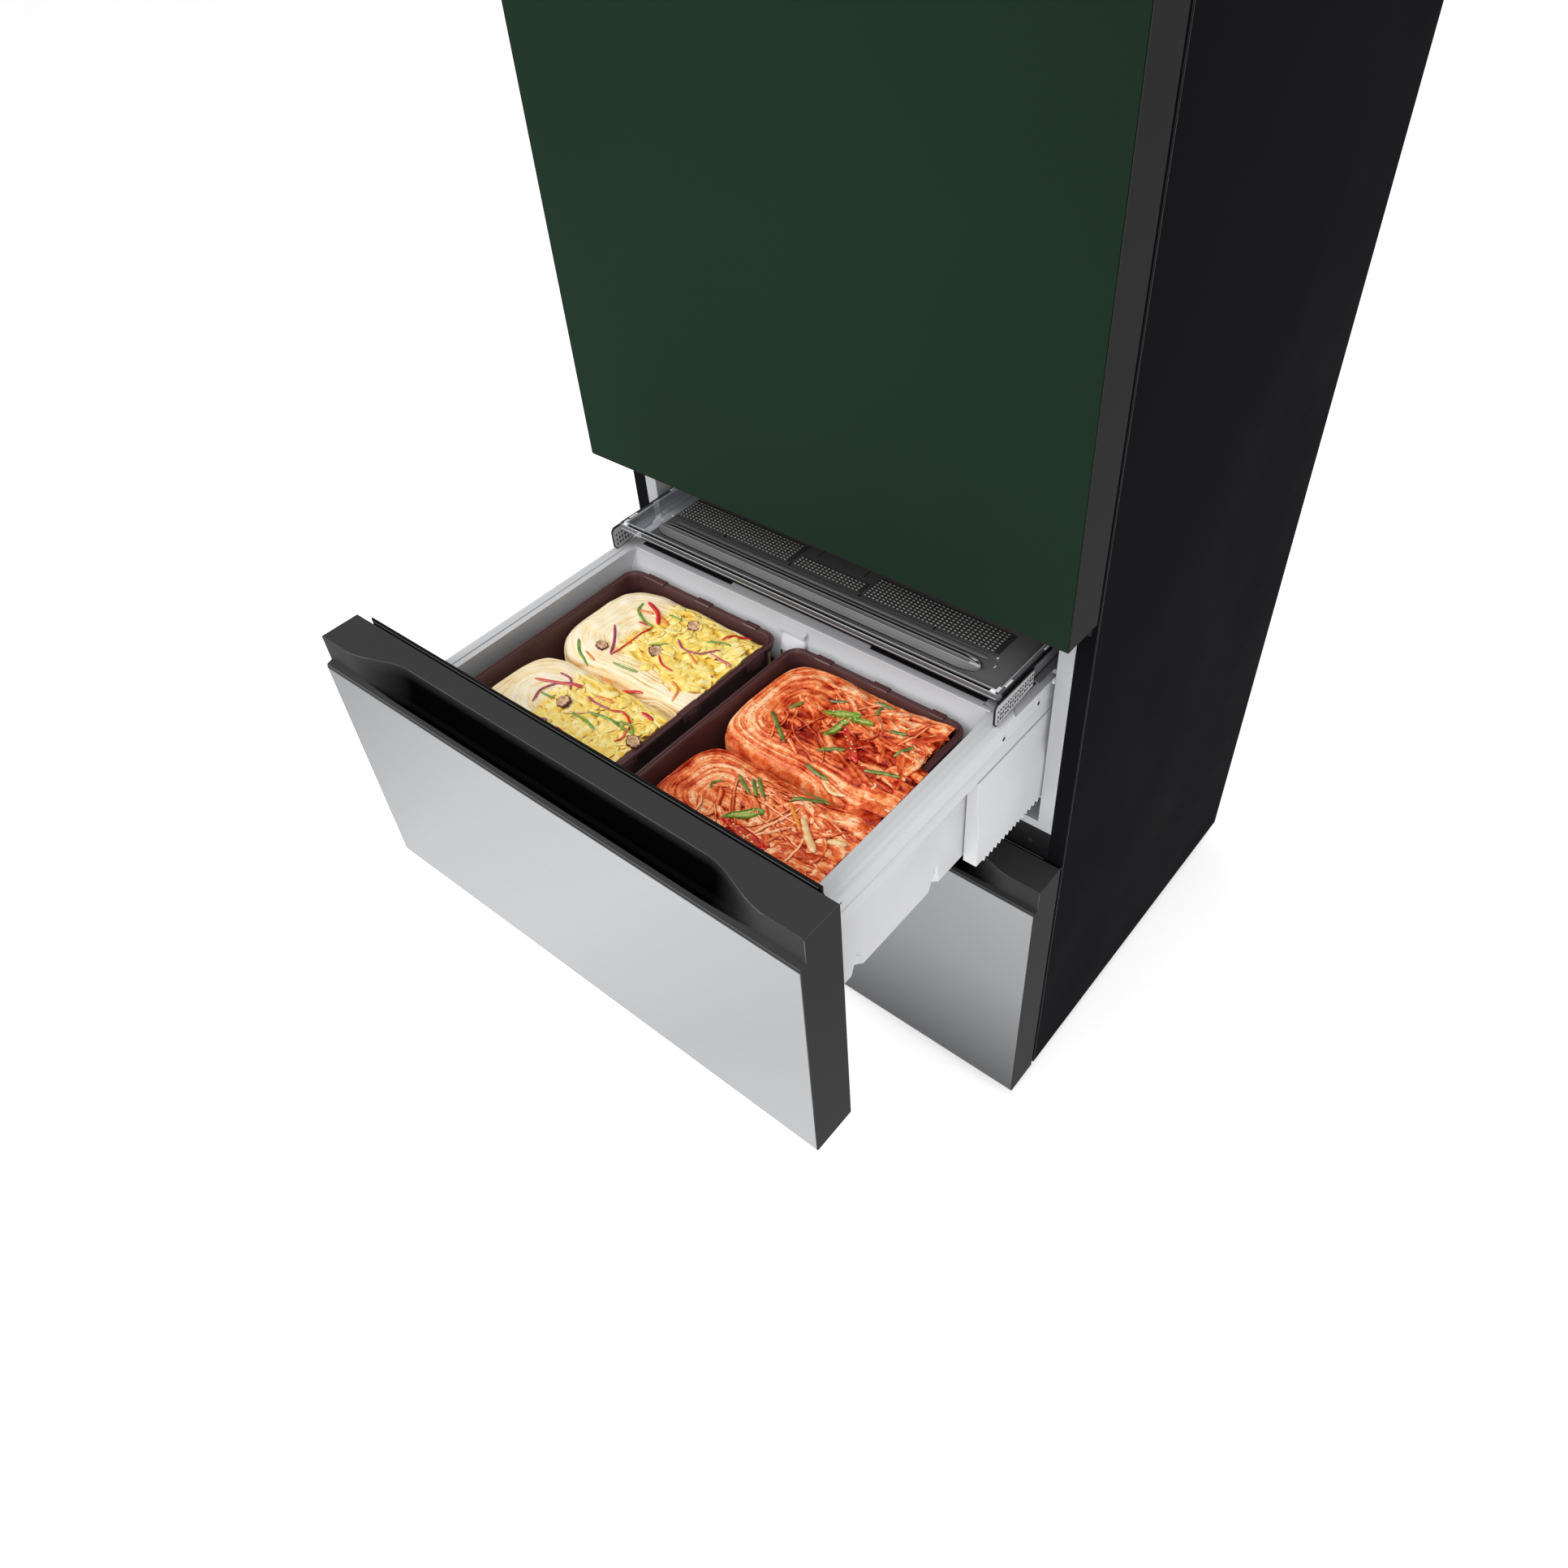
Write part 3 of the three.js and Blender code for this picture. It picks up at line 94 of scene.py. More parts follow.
# ---- material building -----------------------------------------------------------------------
class Surface:
    """A material under construction, with short calls for adding and joining nodes."""

    def __init__(self, name, roughness, metallic=0.0, specular=0.5):
        self.material = bpy.data.materials.new(name)
        self.material.use_nodes = True
        self.tree = self.material.node_tree
        self.shader = self.tree.nodes["Principled BSDF"]
        self.put({"Roughness": roughness, "Metallic": metallic, "Specular IOR Level": specular})
        places = self.node("TexCoord")
        self.places, self.facing = places.outputs["Object"], places.outputs["Normal"]

    def feed(self, socket, value):
        if isinstance(value, bpy.types.NodeSocket):
            self.tree.links.new(value, socket)
        else:
            socket.default_value = value

    def put(self, sockets):
        """Sets or links sockets of the shader."""
        for name, value in sockets.items():
            self.feed(self.shader.inputs[name], value)

    def node(self, kind, inputs=None, **settings):
        made = self.tree.nodes.new("ShaderNode" + kind)
        for name, value in settings.items():
            setattr(made, name, value)
        for name, value in (inputs or {}).items():
            self.feed(made.inputs[name], value)
        return made

    def split(self, vector):
        """X, Y and Z of a vector."""
        return self.node("SeparateXYZ", {"Vector": vector}).outputs

    def stretched(self, scale, source=None):
        """Coordinates multiplied by a factor for each axis."""
        return self.node("Mapping", {"Vector": source or self.places, "Scale": scale}).outputs["Vector"]

    def noise(self, scale, detail, vector=None, rough=0.5, distortion=0.0):
        inputs = {"Scale": scale, "Detail": detail, "Roughness": rough, "Distortion": distortion}
        return self.node("TexNoise", {**inputs, "Vector": vector or self.places}).outputs["Fac"]

    def cells(self, scale, output):
        return self.node("TexVoronoi", {"Scale": scale, "Vector": self.places}).outputs[output]

    def fibres(self, detail, scale, rough, distortion):
        """Fine lines along the leaves, in the leaves' own coordinates."""
        places = self.node("CombineXYZ", {"X": self.number("along"), "Y": self.number("across")})
        vector = self.stretched((*scale, 1.0), places.outputs["Vector"])
        return self.noise(1.0, detail, vector, rough, distortion)

    def ramp(self, factor, stops):
        """Colour ramp from (position, colour) pairs; a single number is a grey."""
        made = self.node("ValToRGB", {"Fac": factor})
        elements = made.color_ramp.elements
        while len(elements) < len(stops):
            elements.new(0.5)
        for element, (position, color) in zip(elements, stops):
            element.position = position
            element.color = (*np.broadcast_to(color, 3), 1.0)
        return made.outputs["Color"]

    def remap(self, value, low, high, start=0.0, end=1.0):
        inputs = {"Value": value, "From Min": start, "From Max": end, "To Min": low, "To Max": high}
        return self.node("MapRange", inputs).outputs["Result"]

    def rise(self, value, start, end):
        """0 up to the start, 1 from the end on."""
        return self.remap(value, 0.0, 1.0, start, end)

    def fall(self, value, start, end):
        """1 up to the start, 0 from the end on."""
        return self.remap(value, 1.0, 0.0, start, end)

    def math(self, operation, first, second=0.0):
        made = self.node("Math", operation=operation)
        self.feed(made.inputs[0], first)
        self.feed(made.inputs[1], second)
        return made.outputs["Value"]

    def product(self, first, *others):
        for value in others:
            first = self.math("MULTIPLY", first, value)
        return first

    def rest(self, value):
        """What is left of 1."""
        return self.math("SUBTRACT", 1.0, value)

    def total(self, *terms):
        """Sum of (value, weight) pairs."""
        result = 0.0
        for value, weight in terms:
            result = self.math("ADD", result, self.product(value, weight))
        return result

    def mix(self, factor, first, second, blend="MIX"):
        made = self.node("Mix", data_type="RGBA", blend_type=blend)
        self.feed(made.inputs["Factor"], factor)
        for index, color in ((6, first), (7, second)):
            self.feed(made.inputs[index], color if isinstance(color, bpy.types.NodeSocket) else (*color, 1.0))
        return made.outputs[2]

    def times(self, first, second):
        return self.mix(1.0, first, second, "MULTIPLY")

    def number(self, name):
        """A number that the mesh carries on its points."""
        return self.node("Attribute", attribute_name=name).outputs["Fac"]

    def bump(self, height, strength, distance):
        inputs = {"Height": height, "Strength": strength, "Distance": distance}
        self.put({"Normal": self.node("Bump", inputs).outputs["Normal"]})


def plain(name, color, roughness, specular, grain=900.0, relief=0.00003, vary=0.05, coat=0.0):
    """Moulded or painted surface: slight change of tone and gloss, and a fine grain."""
    made = Surface(name, roughness, 0.0, specular)
    broad = made.noise(6.0, 3.0)
    dark, light = ([min(1.0, c * share) for c in color] for share in (1 - vary, 1 + vary))
    spread = 0.12 * roughness
    made.put({
        "Base Color": made.ramp(broad, [(0.3, dark), (0.7, light)]),
        "Roughness": made.remap(broad, roughness - spread, roughness + spread, 0.3, 0.7),
        "Coat Weight": coat,
    })
    made.bump(made.noise(grain, 2.0), 0.25, relief)
    return made.material


def brushed(name, color, roughness, along):
    """Metal with fine scratches along one axis."""
    made = Surface(name, roughness, 0.9)
    scale = [700.0, 700.0, 700.0]
    scale[along] = 4.0
    streaks = made.noise(1.0, 4.0, made.stretched(scale), 0.7)
    made.put({
        "Base Color": made.ramp(streaks, [(0.25, [c * 0.96 for c in color]), (0.75, color)]),
        "Roughness": made.remap(streaks, roughness - 0.03, roughness + 0.05, 0.25, 0.75),
    })
    made.bump(streaks, 0.12, 0.00002)
    return made.material


def clear(name, tint, opacity, roughness=0.06):
    """See-through plastic or glass: a tinted clear body under a glossy skin."""
    made = Surface(name, roughness)
    cloud = made.noise(40.0, 2.0)
    made.put({
        "Base Color": made.ramp(cloud, [(0.3, [c * 0.9 for c in tint]), (0.7, tint)]),
        "Alpha": opacity,
        "Roughness": made.remap(cloud, roughness * 0.7, roughness * 1.4),
    })
    return made.material


def silver_sheet():
    """Brushed silver front: painted shade low down and at the upper left, a painted highlight in the middle.
    """
    made = Surface("silver_panel", 0.42, 0.25, 0.2)
    streaks = made.noise(1.0, 4.0, made.stretched((5.0, 700.0, 700.0)), 0.7)
    x, _, z = made.split(made.places)
    # Painted shade: darker towards the floor.
    tone = made.ramp(made.rise(z, 0.04, 0.64), [
        (0.0, (0.085, 0.087, 0.09)), (0.38, (0.28, 0.283, 0.29)), (0.7, (0.345, 0.35, 0.36))])
    # Painted highlight: a bright band across the middle, darker at the upper left.
    slant = made.total((x, 1.0), (z, -0.9), (0.594, 1.0))
    painted_sheen = made.ramp(made.rise(slant, -0.45, 0.45), [
        (0.0, 0.46), (0.1, 0.58), (0.32, 0.86), (0.55, 0.94), (0.82, 0.78), (1.0, 0.84)])
    tone = made.times(tone, painted_sheen)
    made.put({
        "Base Color": made.mix(made.remap(streaks, 0.0, 0.05, 0.25, 0.75), tone, (0.3, 0.3, 0.31)),
        "Roughness": made.remap(streaks, 0.4, 0.46, 0.25, 0.75),
    })
    made.bump(streaks, 0.1, 0.00002)
    return made.material


def charcoal_block(name, front, top):
    """Charcoal front block: painted shade on its end faces and in the grip scoop, black below its lip."""
    made = Surface(name, 0.45, 0.0, 0.01)
    x, y, z = made.split(made.places)
    # Painted shade: faces turned sideways are darker, and the grip scoop darkens with depth to black.
    sideways = made.math("ABSOLUTE", made.split(made.facing)[0])
    sunk = made.fall(z, top - 0.018, top - 0.0005)
    inside = made.fall(made.math("ABSOLUTE", x), 0.215, 0.288)
    behind = made.rise(y, front + 0.0060, front + 0.0085)
    scoop = made.product(
        made.remap(sunk, 0.42, 0.975), made.product(inside, behind),
        made.math("LESS_THAN", y, front + 0.042), made.math("LESS_THAN", z, top - 0.0004))
    painted_shade_gain = made.product(made.rest(made.product(sideways, 0.2)), made.rest(scoop))
    broad = made.noise(6.0, 3.0)
    tone = made.ramp(broad, [(0.3, (0.0345, 0.0345, 0.035)), (0.7, (0.038, 0.038, 0.0385))])
    made.put({"Base Color": made.times(tone, painted_shade_gain), "Roughness": made.remap(broad, 0.4, 0.5)})
    made.bump(made.noise(1300.0, 2.0), 0.25, 0.00004)
    return made.material


def green_sheet():
    """Satin green panel with painted shade, deeper higher up and towards the hinge side."""
    made = Surface("green_panel", 0.45, 0.0, 0.004)
    x, _, z = made.split(made.places)
    # Painted shade: darker higher up and towards the hinge side.
    higher = made.ramp(made.rise(z, 0.85, 1.75), [(0.0, 1.0), (0.35, 0.86), (1.0, 0.58)])
    hinge = made.remap(x, 1.0, 0.84, 0.0, 0.33)
    broad = made.noise(4.0, 2.0)
    tone = made.ramp(broad, [(0.3, (0.0132, 0.0272, 0.0172)), (0.7, (0.0140, 0.0284, 0.0182))])
    made.put({
        "Base Color": made.times(made.times(tone, higher), hinge),
        "Roughness": made.remap(broad, 0.42, 0.48),
    })
    made.bump(made.noise(60.0, 2.0), 0.1, 0.00001)
    return made.material


def tub_white():
    """White tub plastic; inside, painted shade towards the back and under the cover, painted light low down.
    """
    made = Surface("tub_white", 0.38, 0.0, 0.3)
    x, y, z = made.split(made.places)
    outward = made.math("GREATER_THAN", made.product(made.split(made.facing)[0], x), 0.03)
    inside = made.product(made.fall(made.math("ABSOLUTE", x), 0.2835, 0.2860), made.rest(outward))
    # Painted shade: darker towards the back, darkest under the cover.
    depth = made.ramp(made.rise(y, -0.5, -0.1), [
        (0.0, 0.93), (0.75, 0.90), (0.905, (0.86, 0.86, 0.87)), (0.915, (0.72, 0.72, 0.73))])
    broad = made.noise(6.0, 3.0)
    tone = made.ramp(broad, [(0.3, (0.552, 0.555, 0.567)), (0.7, (0.568, 0.571, 0.583))])
    # Painted light: the lower inside walls brighter.
    painted_low_light = made.ramp(made.rise(z, 0.690, 0.745), [(0.0, 1.5), (0.45, 1.3), (0.95, 1.0)])
    made.put({
        "Base Color": made.mix(inside, tone, made.times(made.times(tone, depth), painted_low_light)),
        "Roughness": made.remap(broad, 0.34, 0.42, 0.3, 0.7),
    })
    made.bump(made.noise(500.0, 2.0), 0.25, 0.00003)
    return made.material


def smoky():
    """Smoked cover: the dark compartment behind it painted in as shade, clear beyond the panel's left edge.
    """
    made = Surface("smoke_plastic", 0.16, 0.0, 0.14)
    cloud = made.noise(30.0, 2.0)
    x = made.split(made.places)[0]
    edge = made.rise(x, -0.2375, -0.2365)
    wall = made.rise(x, 0.2702, 0.2706)
    # Painted shade: the dark compartment seen through the cover, lighter to the right and on the side walls.
    panel = made.ramp(made.rise(x, 0.05, 0.26), [(0.0, 0.072), (1.0, 0.118)])
    panel = made.mix(made.remap(cloud, 0.0, 0.25), panel, (0.035, 0.035, 0.036))
    body = made.mix(edge, (0.28, 0.29, 0.32), made.mix(wall, panel, (0.15, 0.15, 0.16)))
    made.put({
        # Painted highlights and painted shade facet by facet, from the mesh's shade numbers.
        "Base Color": made.times(body, made.math("ADD", made.number("shade"), 1.0)),
        "Alpha": made.total((edge, 0.63), (0.34, 1.0), (wall, -0.12)),
        "Roughness": made.remap(cloud, 0.16, 0.3),
    })
    return made.material


def red_leaf():
    """Seasoned cabbage: pale orange ribs with red paste between them, and chilli flakes."""
    made = Surface("red_kimchi", 0.3, 0.0, 0.14)
    fibres = made.fibres(3.0, (0.014, 0.25), 0.62, 0.5)
    patches = made.noise(34.0, 4.0, distortion=0.6)
    paste = made.remap(made.noise(13.0, 3.0, distortion=0.5), 0.0, 0.34, 0.5, 0.66)
    blotches = made.noise(150.0, 3.0, rough=0.6)
    # The ribs' pale tone, with painted light: loose leaf pieces lighter on top and darker underneath.
    level = made.total(
        (made.number("rib"), 0.90), (made.number("tone"), 0.50), (fibres, 1.15), (patches, 1.0),
        (blotches, 0.9), (made.number("leafy"), -0.14), (paste, -0.70), (1.0, -1.70))
    tone = made.ramp(level, [
        (0.0, (0.14, 0.003, 0.001)), (0.22, (0.36, 0.018, 0.005)), (0.44, (0.60, 0.080, 0.020)),
        (0.66, (0.82, 0.190, 0.058)), (0.84, (0.94, 0.35, 0.135)), (1.0, (0.99, 0.60, 0.34))])
    chosen = made.node("SeparateColor", {"Color": made.cells(300.0, "Color")}).outputs["Red"]
    middles = made.fall(made.cells(300.0, "Distance"), 0.2, 0.45)
    flakes = made.product(made.math("GREATER_THAN", chosen, 0.7), middles)
    made.put({
        "Base Color": made.mix(made.product(flakes, 0.75), tone, (0.45, 0.022, 0.006)),
        "Roughness": made.remap(blotches, 0.2, 0.42, 0.3, 0.7),
        "Coat Weight": 0.07, "Coat Roughness": 0.08,
        "Subsurface Weight": 0.1, "Subsurface Radius": (0.004, 0.0012, 0.0005),
    })
    made.bump(made.total((fibres, 0.9), (blotches, 0.4)), 0.6, 0.0012)
    return made.material


def white_leaf():
    """Unseasoned cabbage: cream ribs with darker lines between them and yellow crinkled leaves."""
    made = Surface("white_kimchi", 0.34, 0.0, 0.2)
    fibres = made.fibres(2.0, (0.012, 0.38), 0.6, 0.3)
    patches = made.noise(30.0, 3.0)
    fine = made.noise(240.0, 3.0)
    # The ribs' cream tone, with painted light: loose leaf pieces lighter on top and darker underneath.
    level = made.total(
        (made.number("rib"), 0.90), (made.number("tone"), 0.22), (fibres, 1.0), (fine, 0.16), (1.0, -0.70))
    stem = made.ramp(level, [
        (0.0, (0.40, 0.18, 0.04)), (0.26, (0.72, 0.46, 0.16)), (0.46, (0.89, 0.70, 0.38)),
        (0.70, (0.94, 0.81, 0.57)), (1.0, (0.96, 0.89, 0.75))])
    frond = made.ramp(level, [
        (0.0, (0.40, 0.13, 0.010)), (0.28, (0.74, 0.38, 0.040)), (0.52, (0.90, 0.57, 0.085)),
        (0.78, (0.96, 0.73, 0.19)), (1.0, (0.98, 0.85, 0.42))])
    leafiness = made.total((made.number("leafy"), 1.0), (patches, 1.2), (1.0, -0.56))
    blush = made.remap(made.noise(11.0, 2.0), 0.0, 0.5, 0.5, 0.75)
    pale = made.mix(blush, stem, (0.98, 0.84, 0.80), "MULTIPLY")
    made.put({
        "Base Color": made.mix(made.rise(leafiness, 0.25, 0.75), pale, frond),
        "Roughness": made.remap(fine, 0.24, 0.44, 0.3, 0.7),
        "Coat Weight": 0.12, "Coat Roughness": 0.08,
        "Subsurface Weight": 0.15, "Subsurface Radius": (0.004, 0.003, 0.001),
    })
    made.bump(made.total((fibres, 0.7), (fine, 0.25)), 0.35, 0.0006)
    return made.material


def garnish(name, color, skin, roughness=0.28):
    """Cut vegetable: the flesh's colour with a deeper skin in streaks along it."""
    made = Surface(name, roughness)
    streaks = made.noise(150.0, 3.0)
    fine = made.noise(700.0, 2.0)
    made.put({
        "Base Color": made.ramp(streaks, [(0.3, skin), (0.62, color)]),
        "Roughness": made.remap(fine, roughness * 0.7, roughness * 1.4),
        "Coat Weight": 0.4,
        "Subsurface Weight": 0.08, "Subsurface Radius": (0.002, 0.002, 0.001),
    })
    made.bump(fine, 0.3, 0.0002)
    return made.material


# Plain finishes: colour, roughness, specular level, then grain, relief, change of tone and coat.
PLAIN = {
    "side_steel": ((0.0060, 0.0061, 0.0074), 0.5, 0.002, 260.0, 0.00003, 0.12),
    "black_plastic": ((0.007, 0.007, 0.008), 0.5, 0.2),
    # The zinc lower hinge bracket, darkened to black as painted shade.
    "black_steel": ((0.008, 0.008, 0.009), 0.45, 0.2),
    "foam": ((0.68, 0.6, 0.36), 0.9, 0.3, 300.0, 0.0004),
    "liner_white": ((0.39, 0.394, 0.402), 0.4, 0.3, 400.0, 0.00003, 0.02),
    "white_plastic": ((0.56, 0.563, 0.575), 0.38, 0.3, 500.0, 0.00003, 0.015),
    "charcoal_plastic": ((0.0255, 0.0248, 0.0248), 0.5, 0.004, 1300.0, 0.00004),
    "gasket_rubber": ((0.006, 0.006, 0.006), 0.7, 0.2),
    "maroon_plastic": ((0.080, 0.033, 0.033), 0.28, 0.25, 300.0, 0.00004, 0.12, 0.1),
    "stud_grey": ((0.115, 0.113, 0.108), 0.3, 0.3),
    # Dark beds painted as the shade between the cover's vent studs.
    "bed_dark": ((0.030, 0.030, 0.030), 0.5, 0.1),
    # Painted highlight lines and painted shade outlines of the cover.
    "highlight_grey": ((0.50, 0.51, 0.53), 0.25, 0.5),
    "edge_dark": ((0.004, 0.004, 0.0045), 0.3, 0.1),
    "latch_light": ((0.62, 0.63, 0.64), 0.25, 0.5),
    "tab_frame": ((0.006, 0.006, 0.0065), 0.3, 0.2),
    "tab_light": ((0.42, 0.42, 0.43), 0.25, 0.4),
    "tab_dark": ((0.025, 0.025, 0.028), 0.3, 0.3),
    # Painted highlight lines on the front blocks' edges.
    "highlight_charcoal": ((0.066, 0.066, 0.067), 0.35, 0.15),
    "seal_black": ((0.005, 0.005, 0.005), 0.5, 0.1),
    # Painted highlight lines on the side panels' folds.
    "highlight_steel": ((0.030, 0.031, 0.034), 0.4, 0.1),
    "screw_black": ((0.020, 0.020, 0.020), 0.4, 0.2),
}
# Garnish: finish, colours of the flesh and the skin, and roughness where it isn't the usual one.
GARNISH = {
    "green": ("cut_green", (0.23, 0.40, 0.035), (0.06, 0.17, 0.010)),
    "leek": ("cut_leek", (0.19, 0.27, 0.04), (0.035, 0.085, 0.012)),
    "red": ("cut_red", (0.72, 0.014, 0.010), (0.50, 0.006, 0.006)),
    "orange": ("cut_orange", (0.88, 0.30, 0.03), (0.75, 0.20, 0.015)),
    "purple": ("cut_purple", (0.46, 0.055, 0.16), (0.24, 0.012, 0.045)),
    "pink": ("cut_pink", (0.74, 0.25, 0.25), (0.52, 0.07, 0.09)),
    "white": ("cut_white", (0.90, 0.66, 0.36), (0.82, 0.42, 0.14)),
    "jujube_skin": ("jujube_skin", (0.15, 0.018, 0.008), (0.06, 0.007, 0.004)),
    "jujube_flesh": ("jujube_flesh", (0.80, 0.55, 0.32), (0.36, 0.15, 0.06), 0.45),
    "seed": ("chilli_seed", (0.82, 0.72, 0.38), (0.60, 0.45, 0.16), 0.4),
    "pith": ("chilli_pith", (0.50, 0.56, 0.16), (0.30, 0.38, 0.06)),
    "red_pith": ("chilli_red_pith", (0.66, 0.09, 0.035), (0.42, 0.02, 0.012)),
}
# A finish for each material slot of the record, and for the small pieces added here.
FINISHES = {
    **{name: plain(name, *values) for name, values in PLAIN.items()},
    **{"garnish_" + key: garnish(*values) for key, values in GARNISH.items()},
    "zinc_steel": brushed("zinc_steel", (0.42, 0.43, 0.44), 0.34, 1),
    "condenser_metal": brushed("condenser_metal", (0.55, 0.3, 0.18), 0.35, 2),
    "shelf_glass": clear("shelf_glass", (0.62, 0.75, 0.72), 0.3),
    "clear_plastic": clear("clear_plastic", (0.72, 0.78, 0.8), 0.35),
    "tub_white": tub_white(),
    "smoke_plastic": smoky(),
    "mid_block": charcoal_block("charcoal_mid_block", -0.532, 0.822),
    "low_block": charcoal_block("charcoal_low_block", -0.120, 0.471),
    "green_panel": green_sheet(),
    "silver_panel": silver_sheet(),
    "white_kimchi": white_leaf(),
    "red_kimchi": red_leaf(),
}


# ---- mesh building ---------------------------------------------------------------------------
def grid_faces(rows, columns, closed=False):
    """Quads over rows of points; closed joins each row's last point to its first."""
    faces = []
    for row in range(rows - 1):
        for column in range(columns if closed else columns - 1):
            after = (column + 1) % columns
            start, end = row * columns, (row + 1) * columns
            faces.append((start + column, start + after, end + after, end + column))
    return faces


class Shape:
    """A mesh under construction: points in drawing millimetres, faces, and numbers on the points."""

    def __init__(self):
        self.points, self.faces, self.numbers = [], [], []
        self.count = 0

    def add(self, points, faces, **numbers):
        points = np.asarray(points, dtype=float).reshape(-1, 3)
        self.points.append(points)
        self.faces.extend(tuple(index + self.count for index in face) for face in faces)
        self.numbers.append((len(points), numbers))
        self.count += len(points)

    def rings(self, rings, caps=True, **numbers):
        """Skin over a row of closed rings, with both ends closed."""
        rings = np.asarray(rings, dtype=float)
        rows, columns = rings.shape[:2]
        faces = grid_faces(rows, columns, closed=True)
        if caps:
            faces.append(tuple(range(columns - 1, -1, -1)))
            faces.append(tuple((rows - 1) * columns + index for index in range(columns)))
        self.add(rings, faces, **numbers)

    def sweep(self, outline, axis, start, end):
        """An outline pushed along an axis; its pairs are the other two axes in order."""
        self.rings([[np.insert(np.array(pair, dtype=float), axis, level) for pair in outline]
                    for level in (start, end)])

    def block(self, x0, x1, y0, y1, z0, z1, chamfer=0.0):
        """A block whose top edges are chamfered."""
        foot = [(x0, y0, z0), (x1, y0, z0), (x1, y1, z0), (x0, y1, z0)]
        c = chamfer
        shoulder = [(x, y, z1 - c) for x, y, _ in foot]
        crown = [(x0 + c, y0 + c, z1), (x1 - c, y0 + c, z1), (x1 - c, y1 - c, z1), (x0 + c, y1 - c, z1)]
        self.rings([foot, shoulder, crown])

    def line(self, y, z, x0, x1, width, height=0.5):
        """Fine raised line along x."""
        half = width / 2
        section = [(y - half, z - height), (y + half, z - height), (y + half * 0.6, z), (y - half * 0.6, z)]
        self.sweep(section, 0, x0, x1)

    def disc(self, center, radius, depth, dish=0.0):
        """Short round boss along x; dish sinks the middle of its face."""
        rings = []
        for reach, level in ((1.0, 0.0), (1.0, depth * 0.7), (0.86, depth), (0.55, depth - dish)):
            rings.append([np.array(center, dtype=float) + np.array(
                (level, radius * reach * math.cos(angle), radius * reach * math.sin(angle)))
                for angle in turns(20)])
        self.rings(rings)

    def tree(self):
        return BVHTree.FromPolygons([Vector(p) for p in np.concatenate(self.points)], self.faces)

    def make(self, name, finish, slot, body="mid_drawer", angle=38.0, replaced=()):
        """The finished object, riding on a body."""
        mesh = bpy.data.meshes.new(name)
        mesh.from_pydata(((np.concatenate(self.points) + FRAME_SHIFT) * MM).tolist(), [], self.faces)
        for key in sorted({key for _, numbers in self.numbers for key in numbers}):
            parts = [np.broadcast_to(numbers.get(key, 0.0), (count,)) for count, numbers in self.numbers]
            values = mesh.attributes.new(key, "FLOAT", "POINT")
            values.data.foreach_set("value", np.concatenate(parts).astype(np.float32))
        sculpt = bmesh.new()
        sculpt.from_mesh(mesh)
        bmesh.ops.recalc_face_normals(sculpt, faces=sculpt.faces)
        sculpt.to_mesh(mesh)
        sculpt.free()
        mesh.materials.append(FINISHES[finish])
        mesh.polygons.foreach_set("use_smooth", [True] * len(mesh.polygons))
        mesh.set_sharp_from_angle(angle=math.radians(angle))
        made = show(name, mesh)
        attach(made, body)
        if replaced:
            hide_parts(*replaced)


def turns(count):
    """Angles evenly spaced round a circle."""
    return np.linspace(0, 2 * math.pi, count, endpoint=False)


def smooth_step(value, low, high):
    t = np.clip((np.asarray(value, dtype=float) - low) / (high - low), 0.0, 1.0)
    return t * t * (3 - 2 * t)


def field(points, scale, seed):
    """Smooth noise from about -1 to 1 at each point; scale is the size of its features in mm."""
    scaled = np.asarray(points, dtype=float).reshape(-1, 3) / np.asarray(scale, dtype=float)
    shift = Vector((seed * 17.31, seed * 5.17, seed * 9.73))
    return np.array([noise.noise(Vector(point) + shift) for point in scaled])


def rounded(x0, x1, y0, y1, radius, steps):
    """Points of a rectangle with rounded corners."""
    points = []
    for x, y, start in ((x1, y0, -90), (x1, y1, 0), (x0, y1, 90), (x0, y0, 180)):
        cx = x - math.copysign(radius, x - (x0 + x1) / 2)
        cy = y - math.copysign(radius, y - (y0 + y1) / 2)
        for step in range(steps + 1):
            angle = math.radians(start + 90 * step / steps)
            points.append((cx + radius * math.cos(angle), cy + radius * math.sin(angle)))
    return points


def curve_through(points, steps):
    """Smooth curve through a few points."""
    ends = [2 * points[0] - points[1], *points, 2 * points[-1] - points[-2]]
    curve = []
    for index in range(1, len(ends) - 2):
        a, b, c, d = ends[index - 1:index + 3]
        for step in range(steps):
            t = step / steps
            curve.append(0.5 * (2 * b + (c - a) * t + (2 * a - 5 * b + 4 * c - d) * t ** 2
                                + (3 * b - a - 3 * c + d) * t ** 3))
    return np.array([*curve, ends[-2]])


# ---- kimchi ----------------------------------------------------------------------------------
KIMCHI_FLOOR = 549.0
KIMCHI_TOP = 702.0
RIM_TOP = 703.0
BIN_Y = (-344.0, -37.5)
LEAF_GRID = (260, 86)
# Shares of the rows along each long side and round the root.
LEG, ROUND_ROOT = 0.34, 0.32


